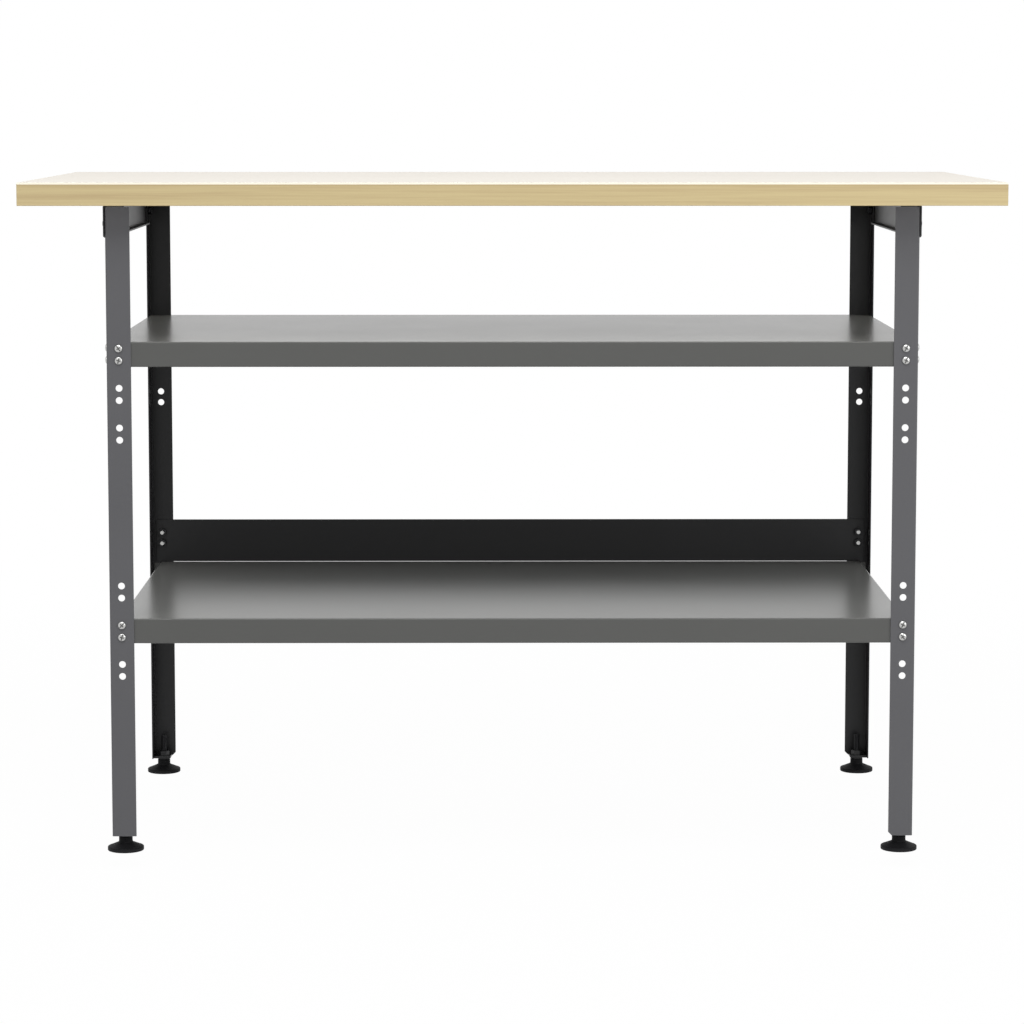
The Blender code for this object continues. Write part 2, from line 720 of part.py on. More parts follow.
def bolt_mesh(name, grip, head_diameter, head_height):
    """A domed bolt along Z, its head above zero, with its nut below the grip."""
    radius, head = BOLT_DIAMETER / 2, head_diameter / 2
    nut_top = -grip - TOUCH
    tip = nut_top - NUT_HEIGHT - BOLT_TIP
    profile = (
        (0, TOUCH + head_height),
        (head * 0.7, TOUCH + head_height * 0.8),
        (head, TOUCH + head_height * 0.3),
        (head, TOUCH),
        (radius, TOUCH),
        (radius, tip),
        (0, tip),
    )
    bolt = add_cutter(name, turned_mesh(name, profile, BOLT_SIDES))
    bm = bmesh.new()
    bmesh.ops.create_cone(
        bm, cap_ends=True, segments=6,
        radius1=NUT_ACROSS_FLATS / math.sqrt(3), radius2=NUT_ACROSS_FLATS / math.sqrt(3),
        depth=NUT_HEIGHT, matrix=Matrix.Translation((0, 0, nut_top - NUT_HEIGHT / 2)),
    )
    nut = add_cutter(f"{name}_nut", mesh_from(bm, "nut"))
    boolean(bolt, nut, "UNION")
    mesh = apply_modifiers(bolt)
    smooth(mesh)
    bpy.data.objects.remove(bolt)
    bpy.data.objects.remove(nut)
    return mesh


def place_bolt(name, mesh, point, outward, metal=ZINC):
    """Set a bolt's head against a face, pointing out of it."""
    bolt = add_piece(name, mesh, metal, point)
    bolt.rotation_mode = "QUATERNION"
    bolt.rotation_quaternion = Vector(outward).to_track_quat("Z", "Y")


def make_bolts():
    """The bolts of the shelves, the backstop and the rails."""
    head = (BOLT_HEAD_DIAMETER, BOLT_HEAD_HEIGHT)
    low_head = (RAIL_BOLT_HEAD_DIAMETER, RAIL_BOLT_HEAD_HEIGHT)
    shelf_bolt = bolt_mesh("shelf_bolt", LEG_SHEET + TOUCH + SHELF_SHEET, *head)
    backstop_bolt = bolt_mesh("backstop_bolt", LEG_SHEET + TOUCH + BACKSTOP_SHEET, *head)
    rail_bolt = bolt_mesh("rail_bolt", RAIL_SHEET + TOUCH + LEG_SHEET, *low_head)
    ranks = ("low", "high")
    for name, corner in CORNERS.items():
        side_x, side_y = corner
        across, along = (0, side_y, 0), (side_x, 0, 0)
        for rank, height in zip(ranks, pair_heights(UPPER_SHELF_LEVEL)):
            front_point = leg_point(corner, HOLE_INSET, 0, height)
            side_point = leg_point(corner, 0, HOLE_INSET, height)
            place_bolt(f"upper_shelf_bolt_{name}_{rank}", shelf_bolt, front_point, across)
            place_bolt(f"upper_shelf_side_bolt_{name}_{rank}", shelf_bolt, side_point, along)
        for rank, height in zip(ranks, pair_heights(LOWER_SHELF_LEVEL)):
            point = leg_point(corner, HOLE_INSET, 0, height)
            place_bolt(f"lower_shelf_bolt_{name}_{rank}", shelf_bolt, point, across)
        if side_y > 0:
            for rank, height in zip(ranks, pair_heights(BACKSTOP_LEVEL)):
                point = leg_point(corner, HOLE_INSET, 0, height)
                place_bolt(f"backstop_bolt_{name}_{rank}", backstop_bolt, point, across)
        rail_point = (side_x * RAIL_OUTSIDE, side_y * HOLE_Y, RAIL_BOLT_HEIGHT)
        place_bolt(f"rail_bolt_{name}", rail_bolt, rail_point, along, BLACK_STEEL)


# Levelling feet


def pad_profile():
    """The pad's turned outline, from the floor of its socket round to its underside."""
    rim, hub = PAD_DIAMETER / 2, HUB_DIAMETER / 2
    shoulder = PAD_SHOULDER_DIAMETER / 2
    hub_top = FOOT_HEIGHT - WELD_BOSS_HEIGHT - TOUCH
    edge_top = PAD_RIM_HEIGHT + PAD_EDGE_HEIGHT
    cone_top = edge_top + PAD_CONE_RISE
    socket = STUD_DIAMETER / 2 + STUD_CLEARANCE
    return (
        (0, PAD_SOCKET_FLOOR),
        (socket, PAD_SOCKET_FLOOR),
        (socket, hub_top),
        (hub, hub_top),
        (hub, cone_top + HUB_FLARE),
        (shoulder, cone_top),
        (rim - PAD_EDGE_WIDTH, edge_top),
        (rim, PAD_RIM_HEIGHT),
        (rim, PAD_RIM_CHAMFER),
        (rim - PAD_RIM_CHAMFER, 0),
        (0, 0),
    )


def stud_profile():
    """The stud's turned outline, from its top down."""
    radius = STUD_DIAMETER / 2
    return (
        (0, STUD_LENGTH),
        (radius - STUD_CHAMFER, STUD_LENGTH),
        (radius, STUD_LENGTH - STUD_CHAMFER),
        (radius, STUD_CHAMFER),
        (radius - STUD_CHAMFER, 0),
        (0, 0),
    )


def make_feet():
    """A pad under each leg, and the stud that stands in it and runs in the weld nut."""
    pad_mesh = turned_mesh("foot_pad", pad_profile(), TURNED_SIDES)
    stud_mesh = turned_mesh("foot_stud", stud_profile(), BOLT_SIDES)
    for name, (side_x, side_y) in CORNERS.items():
        place = (side_x * HOLE_X, side_y * HOLE_Y)
        add_piece(f"foot_pad_{name}", pad_mesh, BLACK_PLASTIC, (*place, 0))
        stud_foot = PAD_SOCKET_FLOOR + TOUCH
        add_piece(f"foot_stud_{name}", stud_mesh, BLACK_STEEL, (*place, stud_foot))


def main():
    make_worktop()
    for name, corner in CORNERS.items():
        make_leg(name, corner)
    make_shelf("upper_shelf", UPPER_SHELF_LEVEL, SHELF_HALF_X)
    make_shelf("lower_shelf", LOWER_SHELF_LEVEL, SHELF_HALF_X - LOWER_SHELF_SET_BACK)
    make_backstop()
    make_rail("left", -1)
    make_rail("right", 1)
    make_bolts()
    make_wood_screws()
    make_feet()


main()
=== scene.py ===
"""Looks of the workshop bench: the finished surface of every piece, and a plain studio.

The file is laid out as an add-on, and run as a script it dresses the bench once.
Lengths are metres, +Z is up, +X runs along the bench and the user stands on the -Y side.
"""

import math

import bmesh
import bpy
from bpy.props import FloatProperty, FloatVectorProperty, IntProperty, PointerProperty
from mathutils import Matrix, Vector


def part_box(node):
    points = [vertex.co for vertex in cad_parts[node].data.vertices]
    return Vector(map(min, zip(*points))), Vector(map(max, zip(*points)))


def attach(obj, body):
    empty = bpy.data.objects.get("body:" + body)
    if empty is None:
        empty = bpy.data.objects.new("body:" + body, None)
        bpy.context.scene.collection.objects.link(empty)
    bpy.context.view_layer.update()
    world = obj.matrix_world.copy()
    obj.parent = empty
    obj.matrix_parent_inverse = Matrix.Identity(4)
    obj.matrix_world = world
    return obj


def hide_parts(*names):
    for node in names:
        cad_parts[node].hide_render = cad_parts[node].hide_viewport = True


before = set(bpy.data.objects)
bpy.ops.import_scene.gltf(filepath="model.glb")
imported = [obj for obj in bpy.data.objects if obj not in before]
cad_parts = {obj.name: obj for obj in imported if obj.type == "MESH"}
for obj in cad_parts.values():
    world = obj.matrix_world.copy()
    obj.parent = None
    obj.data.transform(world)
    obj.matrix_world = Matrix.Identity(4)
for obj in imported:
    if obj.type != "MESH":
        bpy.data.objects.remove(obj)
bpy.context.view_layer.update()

bl_info = {
    "name": "Workbench Looks",
    "version": (1, 0, 0),
    "blender": (4, 5, 0),
    "location": "View3D > Sidebar > Workbench",
    "description": "Builds the finished surfaces of a workshop bench and a studio round it",
    "category": "Object",
}


def middle(node):
    """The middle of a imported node."""
    low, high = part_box(node)
    return (low + high) / 2


# The frame's outer faces and the worktop, as packed
LEG_LOW, LEG_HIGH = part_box("leg_front_right")
TOP_LOW, TOP_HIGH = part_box("worktop_board")
FRAME_X = LEG_HIGH.x
FRAME_Y = -LEG_LOW.y
LEG_FLANGE = LEG_HIGH.x - LEG_LOW.x

# Hole rows, read from the bolts that fill some of them
HOLE_X = middle("upper_shelf_bolt_front_right_low").x
HOLE_Y = -middle("upper_shelf_side_bolt_front_right_low").y
UPPER_LOW = middle("upper_shelf_bolt_front_right_low").z
UPPER_HIGH = middle("upper_shelf_bolt_front_right_high").z
LOWER_LOW = middle("lower_shelf_bolt_front_right_low").z
BACKSTOP_LOW = middle("backstop_bolt_back_right_low").z
RAIL_BOLT_Z = middle("rail_bolt_front_right").z
PAIR_SPACING = UPPER_HIGH - UPPER_LOW
LOWER_SHELF_LEVEL = 7
HOLE_PITCH = (UPPER_LOW - LOWER_LOW) / LOWER_SHELF_LEVEL
PUNCHED_LEVELS = (0, 1, 2, 6, 7, 8)
BACK_FLANGE_LEVELS = (0, 2, 6, 7, 8)

# Sheet metal
LEG_SHEET = 0.0015
LEG_BEND_INSIDE = 0.0007
LEG_CHAMFER = 0.0045
SHELF_SHEET = 0.001
SHELF_BEND_INSIDE = 0.001
SHELF_BEND = SHELF_BEND_INSIDE + SHELF_SHEET
SHELF_RETURN = 0.012
LOWER_SHELF_EAR = 0.0085
CORNER_RELIEF = 0.020
BACKSTOP_SHEET = 0.0015
RAIL_SHEET = 0.002
RAIL_BEND_INSIDE = 0.0003
RAIL_LIP = 0.010
RAIL_LIP_CLEARANCE = 0.045
RAIL_CHAMFER = 0.003
BAND_THICKNESS = 0.002
BAND_RADIUS = 0.0008

# Foot plates, weld nuts and studs
WELD_BOSS_HEIGHT = 0.002
WELD_BOSS_DIAMETER = 0.017
WELD_NUT_HEIGHT = 0.0065
WELD_NUT_ACROSS_FLATS = 0.013
FOOT_PLATE_THICKNESS = 0.003
FOOT_PLATE_SET_BACK = 0.005
STUD_DIAMETER = 0.008
STUD_CLEARANCE = 0.0003
PAD_SOCKET_FLOOR = 0.005
LEG_BOTTOM = LEG_LOW.z + WELD_BOSS_HEIGHT
PLATE_TOP = LEG_BOTTOM + FOOT_PLATE_THICKNESS
WELD_NUT_TOP = PLATE_TOP + WELD_NUT_HEIGHT

# Wood screws
SCREW_DIAMETER = 0.004
SCREW_LENGTH = 0.018
SCREW_PITCH = 0.0018
SCREW_TIP = 0.004

# Sides of round parts, with the rows of facets along each turn of a thread
ROUND_SIDES = 48
BOLT_HEAD_SIDES = 40
SCREW_HEAD_SIDES = 32
NUT_BORE_SIDES = 28
BOLT_FACETS = (20, 6)
SCREW_FACETS = (18, 7)
STUD_FACETS = (28, 7)

# The gap between touching pieces, and how far cutters run past a wall
TOUCH = 0.0003
CUT_MARGIN = 0.002
WELD_DEPTH = 0.0005
TINY = 0.000001
SHARP_ANGLE = math.radians(38)
WHITE = (1.0, 1.0, 1.0, 1.0)
WHITE_RAYS = ("Camera", "Glossy", "Transmission")

CORNERS = {"front_left": (-1, -1), "front_right": (1, -1), "back_left": (-1, 1), "back_right": (1, 1)}
CHAMFERED_LEGS = ("front_right", "back_left", "back_right")
RANKS = ("low", "high")
SIDES = {"left": -1, "right": 1}


# Settings


def quantity(name, description, default, **limits):
    """A number that a user may change."""
    return FloatProperty(name=name, description=description, default=default, **limits)


def count(name, description, default, **limits):
    """A whole number that a user may change."""
    return IntProperty(name=name, description=description, default=default, **limits)


def length(name, description, default):
    """A length in metres that a user may change."""
    return quantity(name, description, default, min=0.0, unit="LENGTH", precision=5)


def share(name, description, default):
    """A number from 0 to 1 that a user may change."""
    return quantity(name, description, default, min=0.0, max=1.0, subtype="FACTOR")


def colour(name, description, default):
    """A colour that a user may change."""
    return FloatVectorProperty(
        name=name, description=description, default=default, min=0.0, max=1.0,
        size=3, subtype="COLOR",
    )


class MetalSettings(bpy.types.PropertyGroup):
    """Sizes of the folded sheet metal."""

    edge_round: length("Edge Round", "Rounding of the sheets' cut edges", 0.00025)
    hole_diameter: length("Hole", "Diameter of the punched holes", 0.0085)
    hole_chamfer: length("Hole Chamfer", "Width of the broken edge at a hole", 0.0002)
    hole_sides: count("Hole Sides", "Sides of each punched hole", 28, min=8, max=64)
    bend_steps: count("Bend Steps", "Facets across each bend", 7, min=2, max=16)


class FastenerSettings(bpy.types.PropertyGroup):
    """Sizes of the bolts, nuts and screws."""

    bolt_diameter: length("Bolt", "Thread diameter of the bolts", 0.006)
    bolt_pitch: length("Bolt Pitch", "Rise of the bolts' thread in one turn", 0.001)
    head_diameter: length("Head", "Diameter of the bolts' heads", 0.0095)
    head_height: length("Head Height", "Height of the bolts' heads", 0.0028)
    low_head_diameter: length("Low Head", "Diameter of the rail bolts' heads", 0.010)
    low_head_height: length("Low Head Height", "Height of the rail bolts' heads", 0.0018)
    bolt_tip: length("Tip", "How far a bolt stands out of its nut", 0.0015)
    nut_across_flats: length("Nut", "Width of the nuts across their flats", 0.010)
    nut_height: length("Nut Height", "Height of the nuts", 0.005)
    slot_width: length("Slot Width", "Width of the slot and cross in the heads", 0.0015)
    slot_depth: length("Slot Depth", "Depth of the slot and cross in the heads", 0.0013)
    seed: count("Seed", "Picks how far round each bolt has been driven", 4)


class FootSettings(bpy.types.PropertyGroup):
    """Sizes of the levelling feet."""

    rim_height: length("Rim Height", "Height of the pad's upright rim", 0.0040)
    edge_width: length("Edge Width", "Width of the rounded edge over the rim", 0.0015)
    edge_height: length("Edge Height", "Height of the rounded edge over the rim", 0.0012)
    cone_rise: length("Cone Rise", "Rise of the pad's sloping top", 0.0048)
    shoulder: length("Shoulder", "Diameter at which the slope meets the hub's flare", 0.0192)
    hub: length("Hub", "Diameter of the hub", 0.017)
    hub_flare: length("Hub Flare", "Height of the hub's flare", 0.0025)
    thread_pitch: length("Thread Pitch", "Rise of the studs' thread in one turn", 0.00125)
    sides: count("Sides", "Sides of the turned pads", 64, min=12, max=128)


class FinishSettings(bpy.types.PropertyGroup):
    """Colours and sheens."""

    laminate: colour("Laminate", "The worktop's pale laminate", (0.86, 0.81, 0.73))
    grain_light: colour("Light Grain", "Light streaks of the edge strips", (0.582, 0.475, 0.257))
    grain_dark: colour("Dark Grain", "Dark streaks of the edge strips", (0.485, 0.373, 0.202))
    # The cream line is partly the strips' own pale edge and partly a painted highlight on their
    # rounded top edge.
    cream: colour("Cream Edge", "The line along the top of the strips", (0.95, 0.89, 0.74))
    grey_paint: colour("Grey Paint", "Front legs", (0.1055, 0.1055, 0.112))
    # Painted shade: the shelves take the legs' grey paint drawn a little darker.
    shelf_paint: colour("Shelf Paint", "Shelves", (0.089, 0.090, 0.086))
    # Painted shade: a far darker copy of the grey paint, for the parts that stand in shade.
    dark_paint: colour("Dark Paint", "Back legs, backstop and rails", (0.022, 0.022, 0.023))
    zinc: colour("Zinc", "Shelf bolts, their nuts and the screws", (0.55, 0.55, 0.54))
    # Black steel on the rail bolts and studs; on the backstop's nuts it is painted shade, dark where
    # zinc nuts sit in shade.
    black_steel: colour("Black Steel", "Rail bolts, dark nuts and studs", (0.030, 0.030, 0.032))
    plastic: colour("Plastic", "Levelling pads", (0.010, 0.010, 0.011))
    paint_roughness: share("Paint Roughness", "Roughness of the powder coat", 0.38)
    shelf_roughness: share("Shelf Roughness", "Roughness of the shelves' coat", 0.25)
    # Painted light: how much lighter the shelves' upward faces are drawn than the rest of their coat.
    painted_top_light: share("Dust", "How much lighter the dust makes the shelves' level faces", 1.0)
    paint_shine: share("Paint Shine", "Specular level of the powder coat", 0.25)
    shelf_shine: share("Shelf Shine", "Specular level of the shelves' coat", 0.35)


class StudioSettings(bpy.types.PropertyGroup):
    """Light, floor and camera."""

    world: share("World", "Strength of the light from all round", 0.52)
    key: quantity("Key", "Power of the large lamp above the front", 105.0, min=0.0, unit="POWER")
    fill: quantity("Fill", "Power of the lamp low at the right", 22.0, min=0.0, unit="POWER")
    floor: colour("Floor", "The studio floor", (0.90, 0.90, 0.90))
    floor_drop: length("Floor Drop", "Room under the pads for a foot wound right out", 0.0202)
    floor_glow: share("Floor Glow", "How much of the shadow the white floor hides", 0.98)
    lens: quantity("Lens", "Focal length", 119.197, min=1.0, unit="CAMERA")
    place: FloatVectorProperty(
        name="Camera", description="Where the camera stands",
        default=(-0.024269, -4.411854, 0.934177), size=3, subtype="TRANSLATION",
    )
    pitch: quantity("Pitch", "How far the camera looks down", math.radians(6.113), subtype="ANGLE")
    yaw: quantity("Yaw", "How far the camera turns right", math.radians(0.325), subtype="ANGLE")
    shift: quantity("Shift", "Upright shift of the lens", -0.05)


class WorkbenchSettings(bpy.types.PropertyGroup):
    """Everything about the bench's looks that a user may change."""

    metal: PointerProperty(type=MetalSettings)
    fastener: PointerProperty(type=FastenerSettings)
    foot: PointerProperty(type=FootSettings)
    finish: PointerProperty(type=FinishSettings)
    studio: PointerProperty(type=StudioSettings)


# Nodes


class Wire:
    """An output socket of a node tree, whose arithmetic adds Math nodes to that tree."""

    def __init__(self, tree, socket=None):
        self.tree = tree
        self.socket = socket

    def node(self, kind, settings=None, sockets=None, output=0):
        """Add a node. Its settings come first, then the values or links of its sockets."""
        node = self.tree.nodes.new(kind)
        for name, value in (settings or {}).items():
            setattr(node, name, value)
        for key, value in (sockets or {}).items():
            if isinstance(value, Wire):
                self.tree.links.new(value.socket, node.inputs[key])
            else:
                node.inputs[key].default_value = value
        return Wire(self.tree, node.outputs[output] if len(node.outputs) else None)

    def math(self, operation, first, second=0.0):
        """A Math node."""
        return self.node("ShaderNodeMath", {"operation": operation}, {0: first, 1: second})

    def __add__(self, other):
        return self.math("ADD", self, other)

    def __radd__(self, other):
        return self.math("ADD", other, self)

    def __sub__(self, other):
        return self.math("SUBTRACT", self, other)

    def __rsub__(self, other):
        return self.math("SUBTRACT", other, self)

    def __mul__(self, other):
        return self.math("MULTIPLY", self, other)

    def __rmul__(self, other):
        return self.math("MULTIPLY", other, self)

    def __truediv__(self, other):
        return self.math("DIVIDE", self, other)

    def __abs__(self):
        return self.math("ABSOLUTE", self)

    def step(self, low, high):
        """Rises smoothly from 0 at low to 1 at high."""
        settings = {"interpolation_type": "SMOOTHSTEP"}
        sockets = {"Value": self, "From Min": low, "From Max": high}
        return self.node("ShaderNodeMapRange", settings, sockets)

    def split(self):
        """The three numbers of a vector."""
        node = self.tree.nodes.new("ShaderNodeSeparateXYZ")
        self.tree.links.new(self.socket, node.inputs[0])
        return [Wire(self.tree, socket) for socket in node.outputs]

    def joined(self, x, y, z):
        """A vector from three numbers."""
        return self.node("ShaderNodeCombineXYZ", None, {0: x, 1: y, 2: z})

    def noise(self, scale, detail=2.0, roughness=0.5):
        """A noise over the place that this wire carries."""
        sockets = {"Vector": self, "Scale": scale, "Detail": detail, "Roughness": roughness}
        return self.node("ShaderNodeTexNoise", None, sockets)

    def between(self, first, second):
        """A colour that runs from the first to the second as this wire runs from 0 to 1."""
        ends = [end if isinstance(end, Wire) else (*end, 1.0) for end in (first, second)]
        sockets = {0: self, 6: ends[0], 7: ends[1]}
        return self.node("ShaderNodeMix", {"data_type": "RGBA"}, sockets, output=2)

    def bump(self, strength, distance):
        """A normal from this wire taken as a height."""
        sockets = {"Height": self, "Strength": strength, "Distance": distance}
        return self.node("ShaderNodeBump", None, sockets)


def scaled(tint, amount):
    """A colour made lighter or darker."""
    return tuple(channel * amount for channel in tint)


def new_material(name):
    """An empty node material: the material, and a wire with the place on the object."""
    material = bpy.data.materials.new(name)
    material.use_nodes = True
    material.node_tree.nodes.clear()
    place = Wire(material.node_tree).node("ShaderNodeTexCoord", output="Object")
    return material, place


def surface(made, base, roughness, normal, metallic=0.0, shine=0.5):
    """Give a new material its Principled shader, and return the material."""
    material, place = made
    shader = place.node("ShaderNodeBsdfPrincipled", None, {
        "Base Color": base, "Roughness": roughness, "Normal": normal,
        "Metallic": metallic, "Specular IOR Level": shine,
    })
    place.node("ShaderNodeOutputMaterial", None, {"Surface": shader})
    return material


def clouded(cloud, tint, low, high):
    """A tint that drifts from darker to lighter with a cloud."""
    return cloud.between(scaled(tint, low), scaled(tint, high))


def laminate_material(finish):
    """Pale laminate: a faint cloud, a fine speckle and a pebbled skin."""
    made = new_material("pale_laminate_finish")
    place = made[1]
    speckle = place.noise(520.0, 2.0)
    tone = place.noise(7.0, 4.0) * 0.6 + speckle * 0.4
    base = clouded(tone, finish.laminate, 0.955, 1.035)
    pebbles = place.noise(1400.0, 2.0).bump(0.12, 0.0001)
    return surface(made, base, 0.40 + speckle * 0.14, pebbles)


def edge_strip_material(finish, along_x):
    """Printed wood grain that runs along a strip, with a cream line at its top edge, partly its own
    pale edge and partly a painted highlight.
    """
    made = new_material(f"edge_grain_along_{'x' if along_x else 'y'}")
    x, y, z = made[1].split()
    along, across = (x, y) if along_x else (y, x)
    fine = z.joined(along * 9.0, across, z * 900.0).noise(1.0, 3.0, 0.65)
    broad = z.joined(along * 2.2 + 7.0, across, z * 150.0).noise(1.0, 2.0)
    grain = (fine * 0.55 + broad * 0.6).step(0.36, 0.76)
    printed = grain.between(finish.grain_dark, finish.grain_light)
    top, bottom = TOP_HIGH.z, TOP_LOW.z
    # Painted shade: a dark line just under the cream line.
    painted_shade_line = z.step(top - 0.0042, top - 0.0028)
    shaded = (painted_shade_line * 0.7).between(printed, scaled(finish.grain_dark, 0.92))
    # A lighter, warmer stripe a few millimetres above the foot of the strip.
    lighter_foot_stripe = z.step(bottom + 0.0036, bottom + 0.0022) * z.step(bottom + 0.0006, bottom + 0.0014)
    warmed = (lighter_foot_stripe * 0.5).between(shaded, scaled(finish.grain_light, 1.06))
    # The cream line along the top: partly the strip's pale edge, partly a painted highlight on the
    # rounded edge.
    base = z.step(top - 0.0025, top - 0.0019).between(warmed, finish.cream)
    return surface(made, base, 0.46 + fine * 0.16, fine.bump(0.18, 0.0002), shine=0.3)


def paint_material(name, tint, roughness, shine, relief, painted_top_light=0.0):
    """Powder coat, slightly cloudy and dimpled like orange peel, with painted light that makes its
    level faces lighter.
    """
    made = new_material(name)
    place = made[1]
    cloud = place.noise(9.0, 3.0)
    powder = clouded(cloud * 0.65 + place.noise(1900.0, 1.0) * 0.35, tint, 0.93, 1.07)
    # Painted light: faces that point up are drawn lighter than the rest of the coat.
    upward = place.node("ShaderNodeNewGeometry", output="Normal").split()[2]
    base = upward.step(0.6, 0.95).between(powder, scaled(tint, 1.0 + painted_top_light))
    peel = place.noise(700.0, 2.0).bump(relief, 0.0001)
    return surface(made, base, roughness - 0.02 + cloud * 0.04, peel, shine=shine)


def zinc_material(finish):
    """Bright zinc plate: slightly clouded and finely scratched, with painted shade in its recesses."""
    made = new_material("bright_zinc_finish")
    place = made[1]
    scratch = place.noise(2600.0, 3.0, 0.7)
    plate = clouded(place.noise(260.0, 3.0), finish.zinc, 0.86, 1.10)
    recess = place.node("ShaderNodeAttribute", {"attribute_name": "recess"}, output="Fac")
    # Painted shade: the marked recess faces are drawn near black.
    base = (recess * 0.85).between(plate, scaled(finish.zinc, 0.12))
    scratches = scratch.bump(0.08, 0.00005)
    return surface(made, base, 0.20 + scratch * 0.18, scratches, metallic=1.0)


def black_steel_material(finish):
    """Blackened steel: uneven in tone, with an oily sheen."""
    made = new_material("black_steel_finish")
    grain = made[1].noise(1800.0, 2.0)
    base = clouded(made[1].noise(180.0, 3.0), finish.black_steel, 0.75, 1.30)
    bumps = grain.bump(0.10, 0.00005)
    return surface(made, base, 0.38 + grain * 0.14, bumps, metallic=0.5, shine=0.3)


def plastic_material(finish, rim_height):
    """Black moulded plastic with a fine grain, with painted light that makes its upright rim greyer
    than its top.
    """
    made = new_material("black_plastic_finish")
    place = made[1]
    grain = place.noise(2400.0, 2.0)
    top = clouded(place.noise(60.0, 3.0), finish.plastic, 0.6, 1.0)
    # Painted light: below the rim's height the plastic is drawn lighter than the sloping top.
    over_rim = place.split()[2].step(rim_height - 0.0006, rim_height + 0.0006)
    base = over_rim.between(scaled(finish.plastic, 1.5), top)
    return surface(made, base, 0.50 + grain * 0.12, grain.bump(0.12, 0.00005), shine=0.08)


def coat(slot, finish):
    """The finish of a painted or plated steel slot, made the first time that it is needed."""
    name = f"{slot}_finish"
    found = bpy.data.materials.get(name)
    if found:
        return found
    if slot == "bright_zinc":
        return zinc_material(finish)
    if slot == "black_steel":
        return black_steel_material(finish)
    tint = getattr(finish, slot)
    return paint_material(name, tint, finish.paint_roughness, finish.paint_shine, 0.08)


# Geometry Nodes


def new_tree(name, inputs):
    """A Geometry Nodes tree, and the wires of its geometry input and of the named ones."""
    tree = bpy.data.node_groups.new(name, "GeometryNodeTree")
    tree.is_modifier = True
    tree.interface.new_socket("Geometry", in_out="OUTPUT", socket_type="NodeSocketGeometry")
    tree.interface.new_socket("Geometry", in_out="INPUT", socket_type="NodeSocketGeometry")
    for label, kind in inputs.items():
        tree.interface.new_socket(label, in_out="INPUT", socket_type=f"NodeSocket{kind}")
    entry = tree.nodes.new("NodeGroupInput")
    return tree, [Wire(tree, entry.outputs[label]) for label in ("Geometry", *inputs)]


def end_tree(geometry, material):
    """Realize what the tree made, give it its material and send it out."""
    real = geometry.node("GeometryNodeRealizeInstances", None, {"Geometry": geometry})
    dressed = real.node("GeometryNodeSetMaterial", None, {"Geometry": real, "Material": material})
    dressed.node("NodeGroupOutput", None, {"Geometry": dressed})


def aimed(wire, twist=None):
    """A rotation whose Z follows each point's aim and whose Y points up before the twist."""
    named = {"data_type": "FLOAT_VECTOR"}
    aim = wire.node("GeometryNodeInputNamedAttribute", named, {"Name": "aim"})
    align = "FunctionNodeAlignRotationToVector"
    out = wire.node(align, {"axis": "Z"}, {"Vector": aim})
    upward = {"Rotation": out, "Vector": (0.0, 0.0, 1.0)}
    upright = wire.node(align, {"axis": "Y", "pivot_axis": "Z"}, upward)
    if twist is None:
        return upright
    turn = wire.node("FunctionNodeEulerToRotation", None, {0: wire.joined(0.0, 0.0, twist)})
    turned = {"Rotation": upright, "Rotate By": turn}
    return wire.node("FunctionNodeRotateRotation", {"rotation_space": "LOCAL"}, turned)


def copies(points, template, rotation):
    """One copy of a template object on each point."""
    shape = points.node("GeometryNodeObjectInfo", None, {"Object": template}, output="Geometry")
    sockets = {"Points": points, "Instance": shape, "Rotation": rotation}
    return points.node("GeometryNodeInstanceOnPoints", None, sockets)


def fastener_tree(name):
    """Fasteners on a mesh of points, each turned at random up to the most that is given."""
    tree, (points, fastener, most_turn, seed, material) = new_tree(name, {
        "Fastener": "Object", "Most Turn": "Float", "Seed": "Int", "Material": "Material",
    })
    limits = {2: 0.0, 3: most_turn, "Seed": seed}
    twist = points.node("FunctionNodeRandomValue", {"data_type": "FLOAT"}, limits, output=1)
    end_tree(copies(points, fastener, aimed(points, twist)), material)
    return tree


def punching_tree(name):
    """Holes punched through a sheet at a mesh of points."""
    tree, (sheet, centres, shape, material) = new_tree(name, {
        "Centres": "Object", "Punch": "Object", "Material": "Material",
    })
    points = sheet.node("GeometryNodeObjectInfo", None, {"Object": centres}, output="Geometry")
    punches = copies(points, shape, aimed(points))
    solid = punches.node("GeometryNodeRealizeInstances", None, {"Geometry": punches})
    punched = solid.node(
        "GeometryNodeMeshBoolean", {"operation": "DIFFERENCE", "solver": "EXACT"},
        {"Mesh 1": sheet, "Mesh 2": solid}, output="Mesh",
    )
    end_tree(punched, material)
    return tree


def thread_tree(name):
    """A threaded rod that stands on the origin, its thread one helix from end to end."""
    tree, wires = new_tree(name, {
        "Length": "Float", "Diameter": "Float", "Pitch": "Float", "Depth": "Float",
        "Tip": "Float", "Sides": "Int", "Rows": "Int", "Material": "Material",
    })
    start, span, diameter, pitch, depth, tip, sides, rows, material = wires
    outside = diameter / 2.0
    sizes = {"Vertices": sides, "Side Segments": rows, "Radius": outside, "Depth": span}
    rod = start.node("GeometryNodeMeshCylinder", {"fill_type": "NGON"}, sizes, output="Mesh")
    x, y, z = start.node("GeometryNodeInputPosition").split()
    height = z + span / 2.0
    turned = start.math("ARCTAN2", y, x) / math.tau
    phase = start.math("FRACT", height / pitch - turned)
    flank = abs(phase * 2.0 - 1.0).step(0.15, 0.85)
    from_end = start.math("MINIMUM", height, span - height)
    narrowed = 1.0 - (from_end / tip).step(0.0, 1.0)
    inward = start.math("MAXIMUM", flank * depth, narrowed * depth)
    ratio = (outside - inward) / outside
    place = start.joined(x * ratio, y * ratio, height)
    shaped = rod.node("GeometryNodeSetPosition", None, {"Geometry": rod, "Position": place})
    end_tree(shaped, material)
    return tree


